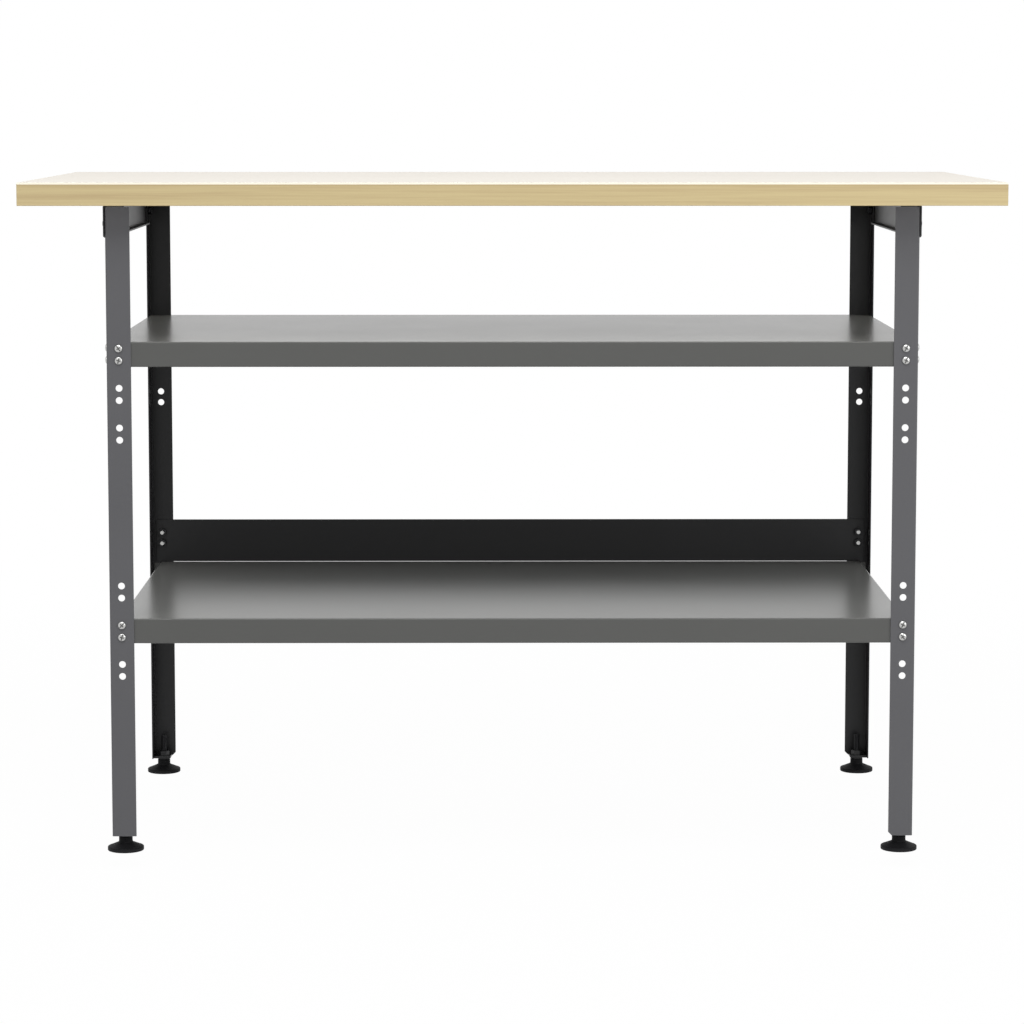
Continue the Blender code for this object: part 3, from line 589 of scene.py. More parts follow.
TREE_MAKERS = {"fasteners": fastener_tree, "punched_holes": punching_tree, "threaded_rod": thread_tree}


def run_tree(obj, name, values):
    """Give an object the mesh that a tree makes, with its inputs set by their identifiers."""
    tree = bpy.data.node_groups.get(name) or TREE_MAKERS[name](name)
    modifier = obj.modifiers.new(name, "NODES")
    modifier.node_group = tree
    for item in tree.interface.items_tree:
        if item.in_out == "INPUT" and item.name in values:
            modifier[item.identifier] = values[item.name]
    return apply_modifiers(obj)


# Meshes


def new_object(name, data):
    """An object at the origin with the given mesh, lamp or camera."""
    obj = bpy.data.objects.new(name, data)
    bpy.context.scene.collection.objects.link(obj)
    return obj


def object_from(name, bm):
    """An object from a bmesh, with its faces pointing out."""
    bmesh.ops.recalc_face_normals(bm, faces=bm.faces)
    mesh = bpy.data.meshes.new(name)
    bm.to_mesh(mesh)
    bm.free()
    return new_object(name, mesh)


def discard(*objects):
    """Remove helper objects."""
    for obj in objects:
        bpy.data.objects.remove(obj, do_unlink=True)


def apply_modifiers(obj):
    """Give an object the mesh that its modifiers make."""
    bpy.context.view_layer.update()
    graph = bpy.context.evaluated_depsgraph_get()
    mesh = bpy.data.meshes.new_from_object(obj.evaluated_get(graph), depsgraph=graph)
    obj.modifiers.clear()
    obj.data = mesh
    return obj


def cut(obj, other, operation="DIFFERENCE"):
    """Cut an object with another, or join them, and remove the other."""
    modifier = obj.modifiers.new(operation, "BOOLEAN")
    modifier.operation = operation
    modifier.object = other
    modifier.solver = "EXACT"
    apply_modifiers(obj)
    discard(other)
    return obj


def shade(obj):
    """Shade smooth, with the normals of flat faces kept flat up to their bends."""
    obj.data.shade_smooth()
    obj.data.set_sharp_from_angle(angle=SHARP_ANGLE)
    weighted = obj.modifiers.new("weighted", "WEIGHTED_NORMAL")
    weighted.mode = "FACE_AREA"
    weighted.keep_sharp = True
    return apply_modifiers(obj)


def finish_piece(obj, material, nodes, body="root"):
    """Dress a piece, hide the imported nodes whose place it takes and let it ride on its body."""
    obj.data.materials.clear()
    obj.data.materials.append(material)
    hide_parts(*nodes)
    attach(obj, body)


def box_bmesh(first, second):
    """A bmesh of the box between two points."""
    low, high = (Vector([pick(pair) for pair in zip(first, second)]) for pick in (min, max))
    size = Matrix.Diagonal((*(high - low), 1.0))
    bm = bmesh.new()
    bmesh.ops.create_cube(bm, size=1.0, matrix=Matrix.Translation((low + high) / 2) @ size)
    return bm


def box_object(name, first, second):
    """A box as an object, for cutting and joining."""
    return object_from(name, box_bmesh(first, second))


def slope_cutter(point, width, thickness, axis):
    """A square bar along an axis, set on its edge, which cuts a slope of a width at a point."""
    size = width * math.sqrt(2)
    shape = Matrix.Diagonal([thickness if letter == axis else size for letter in "XYZ"] + [1.0])
    turn = Matrix.Rotation(math.radians(45), 4, axis)
    bm = bmesh.new()
    bmesh.ops.create_cube(bm, size=1.0, matrix=Matrix.Translation(point) @ turn @ shape)
    return object_from("slope_cutter", bm)


def turned_object(name, profile, sides, place=None):
    """A turned solid from a profile of (radius, height) that starts and ends on the axis."""
    place = place or Matrix.Identity(4)
    bm = bmesh.new()
    rings = []
    for radius, height in profile:
        ring = []
        for number in range(1 if radius < TINY else sides):
            turn = math.tau * number / sides
            point = (radius * math.cos(turn), radius * math.sin(turn), height)
            ring.append(bm.verts.new(place @ Vector(point)))
        rings.append(ring)
    for upper, lower in zip(rings, rings[1:]):
        for number in range(sides):
            ahead = (number + 1) % sides
            corners = (
                upper[number % len(upper)], lower[number % len(lower)],
                lower[ahead % len(lower)], upper[ahead % len(upper)],
            )
            bm.faces.new(dict.fromkeys(corners))
    return object_from(name, bm)


def bore_object(radius, lead, bottom, top, sides, place=None, run=1):
    """The cutter for a round bore that opens out at both ends, and runs some leads past them."""
    past, wide = lead * run, radius + lead * (run + 1)
    profile = (
        (0, top + past), (wide, top + past), (radius, top - lead),
        (radius, bottom + lead), (wide, bottom - past), (0, bottom - past),
    )
    return turned_object("bore", profile, sides, place)


def outline(corners, inset, steps):
    """A section's outline from its square corners, each (u, v, radius), taken anticlockwise.

    The inset draws the whole outline into the metal: outer rounds shrink and inner ones grow.
    """
    points = []
    for number, (u, v, radius) in enumerate(corners):
        corner = Vector((u, v))
        before = Vector(corners[number - 1][:2])
        after = Vector(corners[(number + 1) % len(corners)][:2])
        way_in = (corner - before).normalized()
        way_out = (after - corner).normalized()
        inward = Vector((-way_in.y, way_in.x)) + Vector((-way_out.y, way_out.x))
        if radius < TINY:
            points.append(corner + inward * inset)
            continue
        bend = 1 if way_in.cross(way_out) > 0 else -1
        centre = corner + inward * radius * bend
        first = Vector((-way_in.y, way_in.x)) * -bend
        last = Vector((-way_out.y, way_out.x)) * -bend
        for step in range(steps + 1):
            turn = math.pi / 2 * step / steps
            reach = first * math.cos(turn) + last * math.sin(turn)
            points.append(centre + reach * (radius - inset * bend))
    return points


def swept_object(name, corners, place, low, high, edge, steps):
    """A bar of one section from low to high, its two ends rounded like its edges.

    place turns a section point and a distance along the bar into a point in the model.
    """
    ends = [(0.0, edge * 0.5), (edge * 0.5, edge * 0.134), (edge, 0.0)]
    stations = [(low + depth, inset) for depth, inset in ends]
    stations += [(high - depth, inset) for depth, inset in reversed(ends)]
    bm = bmesh.new()
    rings = []
    for along, inset in stations:
        points = outline(corners, inset, steps)
        rings.append([bm.verts.new(place(point, along)) for point in points])
    for first, second in zip(rings, rings[1:]):
        for number in range(len(first)):
            ahead = (number + 1) % len(first)
            bm.faces.new((first[number], first[ahead], second[ahead], second[number]))
    bm.faces.new(rings[0])
    bm.faces.new(rings[-1])
    return object_from(name, bm)


def points_object(name, places):
    """A mesh of bare points, each with the way that it faces as its aim."""
    mesh = bpy.data.meshes.new(name)
    mesh.from_pydata([point for point, aim in places], [], [])
    aims = mesh.attributes.new("aim", "FLOAT_VECTOR", "POINT")
    for item, (point, aim) in zip(aims.data, places):
        item.vector = aim
    return new_object(name, mesh)


def punch(obj, metal, places, diameter, sheet, material):
    """Punch the same hole through a sheet at each place, and break its edges."""
    radius, face = diameter / 2, sheet / 2
    centres = points_object("centres", places)
    shape = bore_object(radius, metal.hole_chamfer, -face, face, metal.hole_sides, run=3)
    run_tree(obj, "punched_holes", {"Centres": centres, "Punch": shape, "Material": material})
    discard(centres, shape)


def threaded_rod(name, foot, reach, thread, facets, material):
    """A threaded rod that stands on a point.

    The thread is its diameter, pitch, depth and tip. The facets are those round the rod and
    those along each turn of the thread.
    """
    diameter, pitch, depth, tip = thread
    rod = run_tree(new_object(name, bpy.data.meshes.new(name)), "threaded_rod", {
        "Length": reach, "Diameter": diameter, "Pitch": pitch, "Depth": depth, "Tip": tip,
        "Sides": facets[0], "Rows": round(reach / pitch * facets[1]), "Material": material,
    })
    rod.data.transform(Matrix.Translation(foot))
    return rod


# Worktop


def build_edge_strips(settings):
    """Four strips with softly rounded outer edges."""
    metal = settings.metal
    height = TOP_HIGH.z - TOP_LOW.z
    corners = (
        (0, 0, BAND_RADIUS), (BAND_THICKNESS, 0, 0),
        (BAND_THICKNESS, height, 0), (0, height, BAND_RADIUS),
    )
    for run, names in enumerate((("front", "back"), ("left", "right"))):
        material = edge_strip_material(settings.finish, run == 0)
        for name, side in zip(names, (-1, 1)):
            node = f"edge_band_{name}"
            low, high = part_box(node)
            outer = high[1 - run] if side > 0 else low[1 - run]

            def place(point, along, outer=outer, side=side, run=run):
                depth, up = outer - side * point[0], TOP_LOW.z + point[1]
                return (depth, along, up) if run else (along, depth, up)

            strip = swept_object(
                f"{node}_strip", corners, place, low[run], high[run], metal.edge_round * 2,
                metal.bend_steps,
            )
            finish_piece(shade(strip), material, [node])


# Legs


def leg_place(corner):
    """Turns a leg's section point and a height into a point of that leg."""
    side_x, side_y = corner

    def place(point, height):
        return (side_x * (FRAME_X - point[0]), side_y * (FRAME_Y - point[1]), height)

    return place


def hole_heights(levels):
    """Heights of the pairs of holes at these levels."""
    return [
        UPPER_LOW - level * HOLE_PITCH + rank * PAIR_SPACING
        for level in levels for rank in (0, 1)
    ]


def leg_holes(corner):
    """Every punched hole of one leg, on both flanges."""
    side_x, side_y = corner
    front = side_y * (FRAME_Y - LEG_SHEET / 2)
    side = side_x * (FRAME_X - LEG_SHEET / 2)
    face_levels = PUNCHED_LEVELS if side_y < 0 else BACK_FLANGE_LEVELS
    across = [
        ((side_x * HOLE_X, front, height), (0, side_y, 0))
        for height in hole_heights(face_levels)
    ]
    along = [
        ((side, side_y * HOLE_Y, height), (side_x, 0, 0))
        for height in hole_heights(PUNCHED_LEVELS) + [RAIL_BOLT_Z]
    ]
    return across + along


def at_stud(corner):
    """The place of a corner's stud on the ground."""
    return Matrix.Translation((corner[0] * HOLE_X, corner[1] * HOLE_Y, 0.0))


def weld_nut_object(place):
    """A hexagon weld nut with chamfered corners, standing on the foot plate."""
    half = WELD_NUT_ACROSS_FLATS / 2
    corner = half / math.cos(math.pi / 6)
    top, bottom = WELD_NUT_TOP, PLATE_TOP - WELD_DEPTH
    slope = (corner - half) * math.tan(math.radians(30))
    rounded = ((0, top), (half * 0.97, top), (corner + TOUCH, top - slope * 1.6),
               (corner + TOUCH, bottom - TOUCH), (0, bottom - TOUCH))
    prism = ((0, top), (corner, top), (corner, bottom), (0, bottom))
    nut = turned_object("weld_nut", prism, 6, place)
    return cut(nut, turned_object("nut_chamfer", rounded, ROUND_SIDES, place), "INTERSECT")


def add_foot(leg, corner, metal):
    """Weld the foot plate, its nut and its boss into the foot of a leg."""
    start, end = LEG_SHEET - WELD_DEPTH, LEG_FLANGE - FOOT_PLATE_SET_BACK
    soft = 0.0004
    plate_corners = (
        (start, start, 0), (end, start, soft), (end, end, soft * 4), (start, end, soft),
    )
    plate = swept_object(
        "foot_plate", plate_corners, leg_place(corner), LEG_BOTTOM, PLATE_TOP, soft,
        metal.bend_steps,
    )
    place = at_stud(corner)
    top, bottom, radius = LEG_BOTTOM + WELD_DEPTH, LEG_LOW.z, WELD_BOSS_DIAMETER / 2
    boss_profile = (
        (0, top), (radius, top), (radius, bottom + soft), (radius - soft, bottom), (0, bottom),
    )
    boss = turned_object("boss", boss_profile, ROUND_SIDES, place)
    for part in (plate, weld_nut_object(place), boss):
        cut(leg, part, "UNION")
    bore, lead = STUD_DIAMETER / 2 + STUD_CLEARANCE, 0.0006
    cut(leg, bore_object(bore, lead, bottom, WELD_NUT_TOP, ROUND_SIDES, place))


def build_legs(settings):
    """Four punched angles, each with its foot plate and weld nut."""
    metal, edge = settings.metal, settings.metal.edge_round
    corners = (
        (0, 0, LEG_BEND_INSIDE + LEG_SHEET), (LEG_FLANGE, 0, edge),
        (LEG_FLANGE, LEG_SHEET, edge), (LEG_SHEET, LEG_SHEET, LEG_BEND_INSIDE),
        (LEG_SHEET, LEG_FLANGE, edge), (0, LEG_FLANGE, edge),
    )
    for name, corner in CORNERS.items():
        # The back legs take the far darker paint: painted shade.
        slot = "grey_paint" if corner[1] < 0 else "dark_paint"
        paint, place = coat(slot, settings.finish), leg_place(corner)
        leg = swept_object(
            f"leg_{name}_angle", corners, place, LEG_BOTTOM, LEG_HIGH.z, edge, metal.bend_steps,
        )
        add_foot(leg, corner, metal)
        if name in CHAMFERED_LEGS:
            free_edge = place((LEG_FLANGE, LEG_SHEET / 2), LEG_BOTTOM)
            cut(leg, slope_cutter(free_edge, LEG_CHAMFER, LEG_SHEET + 2 * CUT_MARGIN, "Y"))
        punch(leg, metal, leg_holes(corner), metal.hole_diameter, LEG_SHEET, paint)
        finish_piece(shade(leg), paint, [f"leg_{name}"])


# Side rails


def build_rails(settings):
    """Two folded channels, their lower lips cut short of the legs."""
    metal, edge = settings.metal, settings.metal.edge_round
    # The rails take the far darker paint: painted shade under the worktop.
    paint = coat("dark_paint", settings.finish)
    lip = RAIL_SHEET + RAIL_LIP
    lip_end = FRAME_Y - LEG_FLANGE - RAIL_LIP_CLEARANCE
    for name, side in SIDES.items():
        node = f"side_rail_{name}"
        low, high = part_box(node)
        outside = max(abs(low.x), abs(high.x))
        flange, depth = high.x - low.x, high.z - low.z
        bend, inner = RAIL_BEND_INSIDE + RAIL_SHEET, depth - RAIL_SHEET
        corners = (
            (0, 0, bend), (flange, 0, edge), (flange, RAIL_SHEET, edge),
            (RAIL_SHEET, RAIL_SHEET, RAIL_BEND_INSIDE), (RAIL_SHEET, inner, RAIL_BEND_INSIDE),
            (lip, inner, edge), (lip, depth, edge), (0, depth, bend),
        )

        def place(point, along, side=side, outside=outside, top=high.z):
            return (side * (outside - point[0]), along, top - point[1])

        rail = swept_object(
            f"{node}_channel", corners, place, low.y, high.y, edge, metal.bend_steps,
        )
        for end in (-1, 1):
            near = (side * (outside - RAIL_SHEET), end * lip_end, low.z - CUT_MARGIN)
            far = (side * (outside - lip - CUT_MARGIN), end * (FRAME_Y + CUT_MARGIN),
                   low.z + RAIL_SHEET + CUT_MARGIN)
            cut(rail, box_object("lip_end", near, far))
            corner = (side * outside, end * FRAME_Y, low.z)
            cut(rail, slope_cutter(corner, RAIL_CHAMFER, 2 * (RAIL_SHEET + CUT_MARGIN), "X"))
        bolts = [
            ((side * (outside - RAIL_SHEET / 2), end * HOLE_Y, RAIL_BOLT_Z), (side, 0, 0))
            for end in (-1, 1)
        ]
        screws = [
            ((*middle(f"wood_screw_{name}_{number}").xy, high.z - RAIL_SHEET / 2), (0, 0, 1))
            for number in (1, 2, 3)
        ]
        punch(rail, metal, bolts, metal.hole_diameter, RAIL_SHEET, paint)
        punch(rail, metal, screws, SCREW_DIAMETER + 2 * TOUCH, RAIL_SHEET, paint)
        finish_piece(shade(rail), paint, [node])


# Shelves and backstop


def tray_object(name, low, high, radius, steps):
    """A box rounded where a tray is bent: everywhere but the foot of its two ends."""
    bm = box_bmesh(low, high)
    bends = []
    for edge in bm.edges:
        first, second = (vertex.co for vertex in edge.verts)
        at_foot = max(first.z, second.z) < low.z + TOUCH
        along_y = abs(first.y - second.y) > TOUCH
        if not (at_foot and along_y):
            bends.append(edge)
    bmesh.ops.bevel(
        bm, geom=bends, offset=radius, segments=steps, affect="EDGES", profile=0.5,
    )
    return object_from(name, bm)


def lip_holes(half_y, half_x, bolt_low):
    """The holes in a shelf's front and back lips, and in its side lips if they are bolted."""
    places = []
    for height in (bolt_low, bolt_low + PAIR_SPACING):
        for side_x, side_y in CORNERS.values():
            places.append(((side_x * HOLE_X, side_y * half_y, height), (0, side_y, 0)))
            if half_x:
                places.append(((side_x * half_x, side_y * HOLE_Y, height), (side_x, 0, 0)))
    return places


def build_shelf(settings, paint, name, bolt_low, ear):
    """A folded tray with bolt holes in its lips, and ears past its sides if it is narrow."""
    metal, steps = settings.metal, settings.metal.bend_steps
    low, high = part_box(name)
    half_x, mouth_x = high.x - ear, high.x - ear - SHELF_SHEET
    wall = Vector((SHELF_SHEET, SHELF_SHEET, SHELF_SHEET))
    near, far = Vector((-half_x, low.y, low.z)), Vector((half_x, high.y, high.z))
    shelf = tray_object(f"{name}_tray", near, far, SHELF_BEND, steps)
    cut(shelf, tray_object("hollow", near + wall, far - wall, SHELF_BEND_INSIDE, steps))
    mouth_y = high.y - SHELF_RETURN
    cut(shelf, box_object(
        "mouth", (-mouth_x, -mouth_y, low.z - CUT_MARGIN),
        (mouth_x, mouth_y, low.z + SHELF_SHEET + CUT_MARGIN),
    ))
    if ear:
        add_ears(shelf, half_x, low, high)
    side_lip = None if ear else half_x - SHELF_SHEET / 2
    places = lip_holes(high.y - SHELF_SHEET / 2, side_lip, bolt_low)
    punch(shelf, metal, places, metal.hole_diameter, SHELF_SHEET, paint)
    finish_piece(shade(shelf), paint, [name])


def add_ears(shelf, half_x, low, high):
    """Run a narrow shelf's front and back lips on past its sides, and shorten its side lips."""
    bend_x, inner_y, top = half_x - SHELF_BEND, high.y - SHELF_SHEET, high.z - SHELF_BEND
    for side_x, side_y in CORNERS.values():
        near = (side_x * (bend_x - WELD_DEPTH), side_y * inner_y, low.z + SHELF_BEND)
        far = (side_x * high.x, side_y * high.y, top)
        cut(shelf, box_object("ear", near, far), "UNION")
    for side_x, side_y in CORNERS.values():
        near = (side_x * bend_x, side_y * inner_y, low.z - CUT_MARGIN)
        far = (side_x * (half_x + CUT_MARGIN), side_y * (inner_y - CORNER_RELIEF), top)
        cut(shelf, box_object("relief", near, far))


def build_backstop(settings):
    """The flat strip across the back legs."""
    metal, edge = settings.metal, settings.metal.edge_round
    # The backstop takes the far darker paint: painted shade at the back.
    paint = coat("dark_paint", settings.finish)
    low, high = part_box("backstop")
    corners = (
        (low.y, low.z, edge), (high.y, low.z, edge),
        (high.y, high.z, edge), (low.y, high.z, edge),
    )
    strip = swept_object(
        "backstop_strip", corners, lambda point, along: (along, *point), low.x, high.x, edge,
        metal.bend_steps,
    )
    places = [
        ((side * HOLE_X, (low.y + high.y) / 2, height), (0, 1, 0))
        for height in (BACKSTOP_LOW, BACKSTOP_LOW + PAIR_SPACING) for side in (-1, 1)
    ]
    punch(strip, metal, places, metal.hole_diameter, BACKSTOP_SHEET, paint)
    finish_piece(shade(strip), paint, ["backstop"])


# Fasteners


def slot_object(size, radius, height):
    """The cutter for a head's recess: a long slot crossed by a shorter one."""
    top, half = TOUCH + height, size.slot_width / 2
    floor = top - min(size.slot_depth, height * 0.6)
    long_reach, short_reach = radius * 0.80, radius * 0.52
    slot = box_object("slot", (-long_reach, -half, floor + TOUCH / 2), (long_reach, half, top * 2))
    cross = box_object("cross", (-half, -short_reach, floor), (half, short_reach, top * 2))
    return cut(slot, cross, "UNION")


def dome_at(share, height):
    """Height of a domed head at a share of its radius."""
    rim = 0.3
    return TOUCH + height * (rim + (1 - rim) * math.sqrt(max(0.0, 1.0 - share * share)))


def domed_head(size, radius, height, sides):
    """A domed head over the gap to its seat, with its recess marked for painted shade."""
    edge = radius * 0.06
    steps = 9
    profile = []
    for step in range(steps + 1):
        share = math.sin(math.pi / 2 * step / steps)
        profile.append((radius * share, dome_at(share, height)))
    profile += [(radius, TOUCH + edge), (radius - edge, TOUCH), (0, TOUCH)]
    head = cut(turned_object("head", profile, sides), slot_object(size, radius, height))
    # Faces sunk into the recess are marked, and the zinc draws painted shade on them.
    shade_marks = head.data.attributes.new("recess", "FLOAT", "FACE")
    for face, mark in zip(head.data.polygons, shade_marks.data):
        share = face.center.xy.length / radius
        sunk = dome_at(share, height) - face.center.z > TOUCH / 4
        mark.value = float(sunk and share < 0.85 and face.center.z > 2 * TOUCH)
    return head


def bolt_object(size, head_radius, head_height, grip, material):
    """A domed bolt along Z, its seat at zero, threaded to its tip."""
    shank = grip + 2 * TOUCH + size.nut_height + size.bolt_tip
    thread = (size.bolt_diameter, size.bolt_pitch, size.bolt_pitch * 0.55, size.bolt_pitch * 0.8)
    foot = (0, 0, -shank + TOUCH * 2)
    rod = threaded_rod("bolt", foot, shank + TOUCH, thread, BOLT_FACETS, material)
    head = domed_head(size, head_radius, head_height, BOLT_HEAD_SIDES)
    return shade(cut(head, rod, "UNION"))


def nut_object(size, grip):
    """A hexagon nut with chamfered corners and a bore, its corners up and down."""
    half = size.nut_across_flats / 2
    corner, flat = half / math.cos(math.pi / 6), half * 0.95
    top = -grip - TOUCH
    bottom = top - size.nut_height
    slope = (corner - flat) * math.tan(math.radians(30))
    turn = Matrix.Rotation(math.pi / 2, 4, "Z")
    nut = turned_object("nut", ((0, top), (corner, top), (corner, bottom), (0, bottom)), 6, turn)
    rounded = (
        (0, top), (flat, top), (corner, top - slope), (corner, bottom + slope),
        (flat, bottom), (0, bottom),
    )
    wide = [(radius * 1.0005, height) for radius, height in rounded]
    cut(nut, turned_object("nut_chamfer", wide, ROUND_SIDES), "INTERSECT")
    bore = size.bolt_diameter / 2 + TOUCH / 4
    return shade(cut(nut, bore_object(bore, size.bolt_pitch / 2, bottom, top, NUT_BORE_SIDES)))


def place_fasteners(settings, name, places, nodes, template, most_turn, slot):
    """One piece with every fastener of a group, made by the tree from a template."""
    material = coat(slot, settings.finish)
    obj = run_tree(points_object(name, places), "fasteners", {
        "Fastener": template, "Most Turn": most_turn, "Seed": settings.fastener.seed,
        "Material": material,
    })
    discard(template)
    finish_piece(obj, material, nodes)


def bolt_places():
    """The bolts of each joint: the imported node, with the place and the aim of its seat."""
    rail_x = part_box("side_rail_right")[1].x
    found = {"upper_shelf": [], "lower_shelf": [], "backstop": [], "rail": []}

    def add(group, node, axis, side, seat):
        point, aim = middle(node), [0, 0, 0]
        point[axis] = side * seat
        aim[axis] = side
        found[group].append((node, (point, aim)))

    for name, (side_x, side_y) in CORNERS.items():
        across = ["upper_shelf", "lower_shelf"] + (["backstop"] if side_y > 0 else [])
        for rank in RANKS:
            for group in across:
                add(group, f"{group}_bolt_{name}_{rank}", 1, side_y, FRAME_Y)
            add("upper_shelf", f"upper_shelf_side_bolt_{name}_{rank}", 0, side_x, FRAME_X)
        add("rail", f"rail_bolt_{name}", 0, side_x, rail_x)
    return found


def build_bolts(settings):
    """The bolts and nuts of the shelves, the backstop and the rails."""
    size = settings.fastener
    head = (size.head_diameter / 2, size.head_height)
    low_head = (size.low_head_diameter / 2, size.low_head_height)
    shelf_grip = LEG_SHEET + TOUCH + SHELF_SHEET
    joints = {
        "upper_shelf": (head, shelf_grip, "bright_zinc", "bright_zinc"),
        "lower_shelf": (head, shelf_grip, "bright_zinc", "bright_zinc"),
        # The backstop's nuts take black steel: painted shade and painted dark reflection on nuts that
        # sit in shade.
        "backstop": (head, LEG_SHEET + TOUCH + BACKSTOP_SHEET, "bright_zinc", "black_steel"),
        "rail": (low_head, RAIL_SHEET + TOUCH + LEG_SHEET, "black_steel", "black_steel"),
    }
    for name, members in bolt_places().items():
        shape, grip, bolt_slot, nut_slot = joints[name]
        nodes, places = zip(*members)
        bolt =bolt_object(size, *shape, grip, coat(bolt_slot, settings.finish))
        nut = nut_object(size, grip)
        place_fasteners(settings, f"{name}_bolts", places, nodes, bolt, math.tau, bolt_slot)
        place_fasteners(settings, f"{name}_nuts", places, nodes, nut, 0.0, nut_slot)


def build_wood_screws(settings):
    """Pan head screws, driven up through the rails into the board."""
    low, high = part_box("wood_screw_left_1")
    seat = high.z - SCREW_LENGTH
    body = SCREW_LENGTH - SCREW_TIP + TOUCH * 2
    thread = (SCREW_DIAMETER, SCREW_PITCH, SCREW_DIAMETER * 0.16, SCREW_PITCH * 0.4)
    metal = coat("bright_zinc", settings.finish)
    rod = threaded_rod("screw", (0, 0, -body + TOUCH * 2), body, thread, SCREW_FACETS, metal)
    core = SCREW_DIAMETER * 0.34
    point_profile = (
        (0, -body + TOUCH * 4), (core, -body + TOUCH * 3), (core * 0.9, -body - TOUCH),
        (TOUCH / 3, -SCREW_LENGTH + TOUCH), (0, -SCREW_LENGTH),
    )
    radius, height = (high.x - low.x) / 2, seat - TOUCH - low.z
    screw = domed_head(settings.fastener, radius, height, SCREW_HEAD_SIDES)
    for part in (rod, turned_object("point", point_profile, SCREW_FACETS[0])):
        cut(screw, part, "UNION")
    nodes = [f"wood_screw_{name}_{number}" for name in SIDES for number in (1, 2, 3)]
    places = [((*middle(node).xy, seat), (0, 0, -1)) for node in nodes]
    place_fasteners(settings, "wood_screws", places, nodes, shade(screw), math.tau, "bright_zinc")


# Levelling feet


def pad_profile(size, low, high):
    """The pad's turned outline, from its socket round to its underside."""
    rim, hub, shoulder = (high.x - low.x) / 2, size.hub / 2, size.shoulder / 2
    hub_top = high.z
    edge_top = size.rim_height + size.edge_height
    cone_top = edge_top + size.cone_rise
    socket = STUD_DIAMETER / 2 + STUD_CLEARANCE
    soft, bevel = 0.0006, 0.0008
    flare_steps, edge_steps = 8, 6
    profile = [
        (0, PAD_SOCKET_FLOOR), (socket, PAD_SOCKET_FLOOR), (socket, hub_top - soft),
        (socket + soft, hub_top), (hub - soft, hub_top), (hub, hub_top - soft),
    ]
    flare_foot = shoulder + size.hub_flare * 0.5
    foot_height = cone_top - (flare_foot - shoulder) * size.cone_rise / (rim - shoulder)
    for step in range(flare_steps + 1):
        turn = math.pi / 2 * step / flare_steps
        profile.append((
            flare_foot - (flare_foot - hub) * math.cos(turn),
            foot_height + (cone_top + size.hub_flare - foot_height) * (1 - math.sin(turn)),
        ))
    for step in range(edge_steps + 1):
        turn = math.pi / 2 * step / edge_steps
        profile.append((
            rim - size.edge_width * (1 - math.sin(turn)),
            size.rim_height + size.edge_height * math.cos(turn),
        ))
    profile += [(rim, bevel), (rim - bevel * 0.3, bevel * 0.3), (rim - bevel, 0), (0, 0)]
    return profile


def build_pads(settings):
    """Turned plastic pads, each riding on its own body."""
    size = settings.foot
    plastic = plastic_material(settings.finish, size.rim_height)
    for name, corner in CORNERS.items():
        node = f"foot_pad_{name}"
        profile = pad_profile(size, *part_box(node))
        pad = turned_object(f"{node}_moulding", profile, size.sides, at_stud(corner))
        finish_piece(shade(pad), plastic, [node], node)


def build_studs(settings):
    """Threaded studs, each riding on its own body."""
    metal, pitch = coat("black_steel", settings.finish), settings.foot.thread_pitch
    thread = (STUD_DIAMETER, pitch, pitch * 0.55, pitch * 0.9)
    for name, (side_x, side_y) in CORNERS.items():
        node = f"foot_stud_{name}"
        low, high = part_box(node)
        foot = (side_x * HOLE_X, side_y * HOLE_Y, low.z)
        reach = high.z - low.z
        stud = threaded_rod(f"{node}_thread", foot, reach, thread, STUD_FACETS, metal)
        finish_piece(shade(stud), metal, [node], node)


# Studio


def white_rays(wire):
    """1 for the rays that should see a white background, and 0 for the light of the room."""
    path = wire.node("ShaderNodeLightPath").socket.node
    seen = [Wire(wire.tree, path.outputs[f"Is {ray} Ray"]) for ray in WHITE_RAYS]
    return wire.math("MAXIMUM", wire.math("MAXIMUM", seen[0], seen[1]), seen[2])


def build_world(studio):
    """Even light from all round, and a white background."""
    world = bpy.data.worlds.new("studio")
    world.use_nodes = True
    world.node_tree.nodes.clear()
    start = Wire(world.node_tree)
    white = white_rays(start)
    strength = white + (1.0 - white) * studio.world
    light = start.node("ShaderNodeBackground", None, {"Color": WHITE, "Strength": strength})
    start.node("ShaderNodeOutputWorld", None, {"Surface": light})
    bpy.context.scene.world = world


def build_floor(studio):
    """A pale floor that keeps a soft shadow and fades to white away from the bench."""
    material, place = new_material("studio_floor")
    x, y = place.split()[:2]
    far = place.math("SQRT", x * x + y * y).step(1.0, 2.6)
    glow = studio.floor_glow + far * (1.0 - studio.floor_glow)
    tint = clouded(place.noise(3.0, 2.0), studio.floor, 0.99, 1.01)
    matt = place.node("ShaderNodeBsdfDiffuse", None, {"Color": tint})
    white = place.node("ShaderNodeEmission", None, {"Color": WHITE, "Strength": 1.0})
    mixed = {0: white_rays(place) * glow, 1: matt, 2: white}
    seen = place.node("ShaderNodeMixShader", None, mixed)
    place.node("ShaderNodeOutputMaterial", None, {"Surface": seen})
    bm = bmesh.new()
    low = Matrix.Translation((0.0, 0.0, -studio.floor_drop))
    bmesh.ops.create_grid(bm, x_segments=1, y_segments=1, size=60.0, matrix=low)
    floor = object_from("floor", bm)
    floor.data.materials.append(material)


def add_lamp(name, power, width, depth, place, target):
    """A large soft lamp aimed at a point."""
    lamp = bpy.data.lights.new(name, "AREA")
    lamp.shape = "RECTANGLE"
    lamp.size = width
    lamp.size_y = depth
    lamp.energy = power
    obj = new_object(name, lamp)
    obj.location = place
    aim = Vector(target) - Vector(place)
    obj.rotation_euler = aim.to_track_quat("-Z", "Y").to_euler()


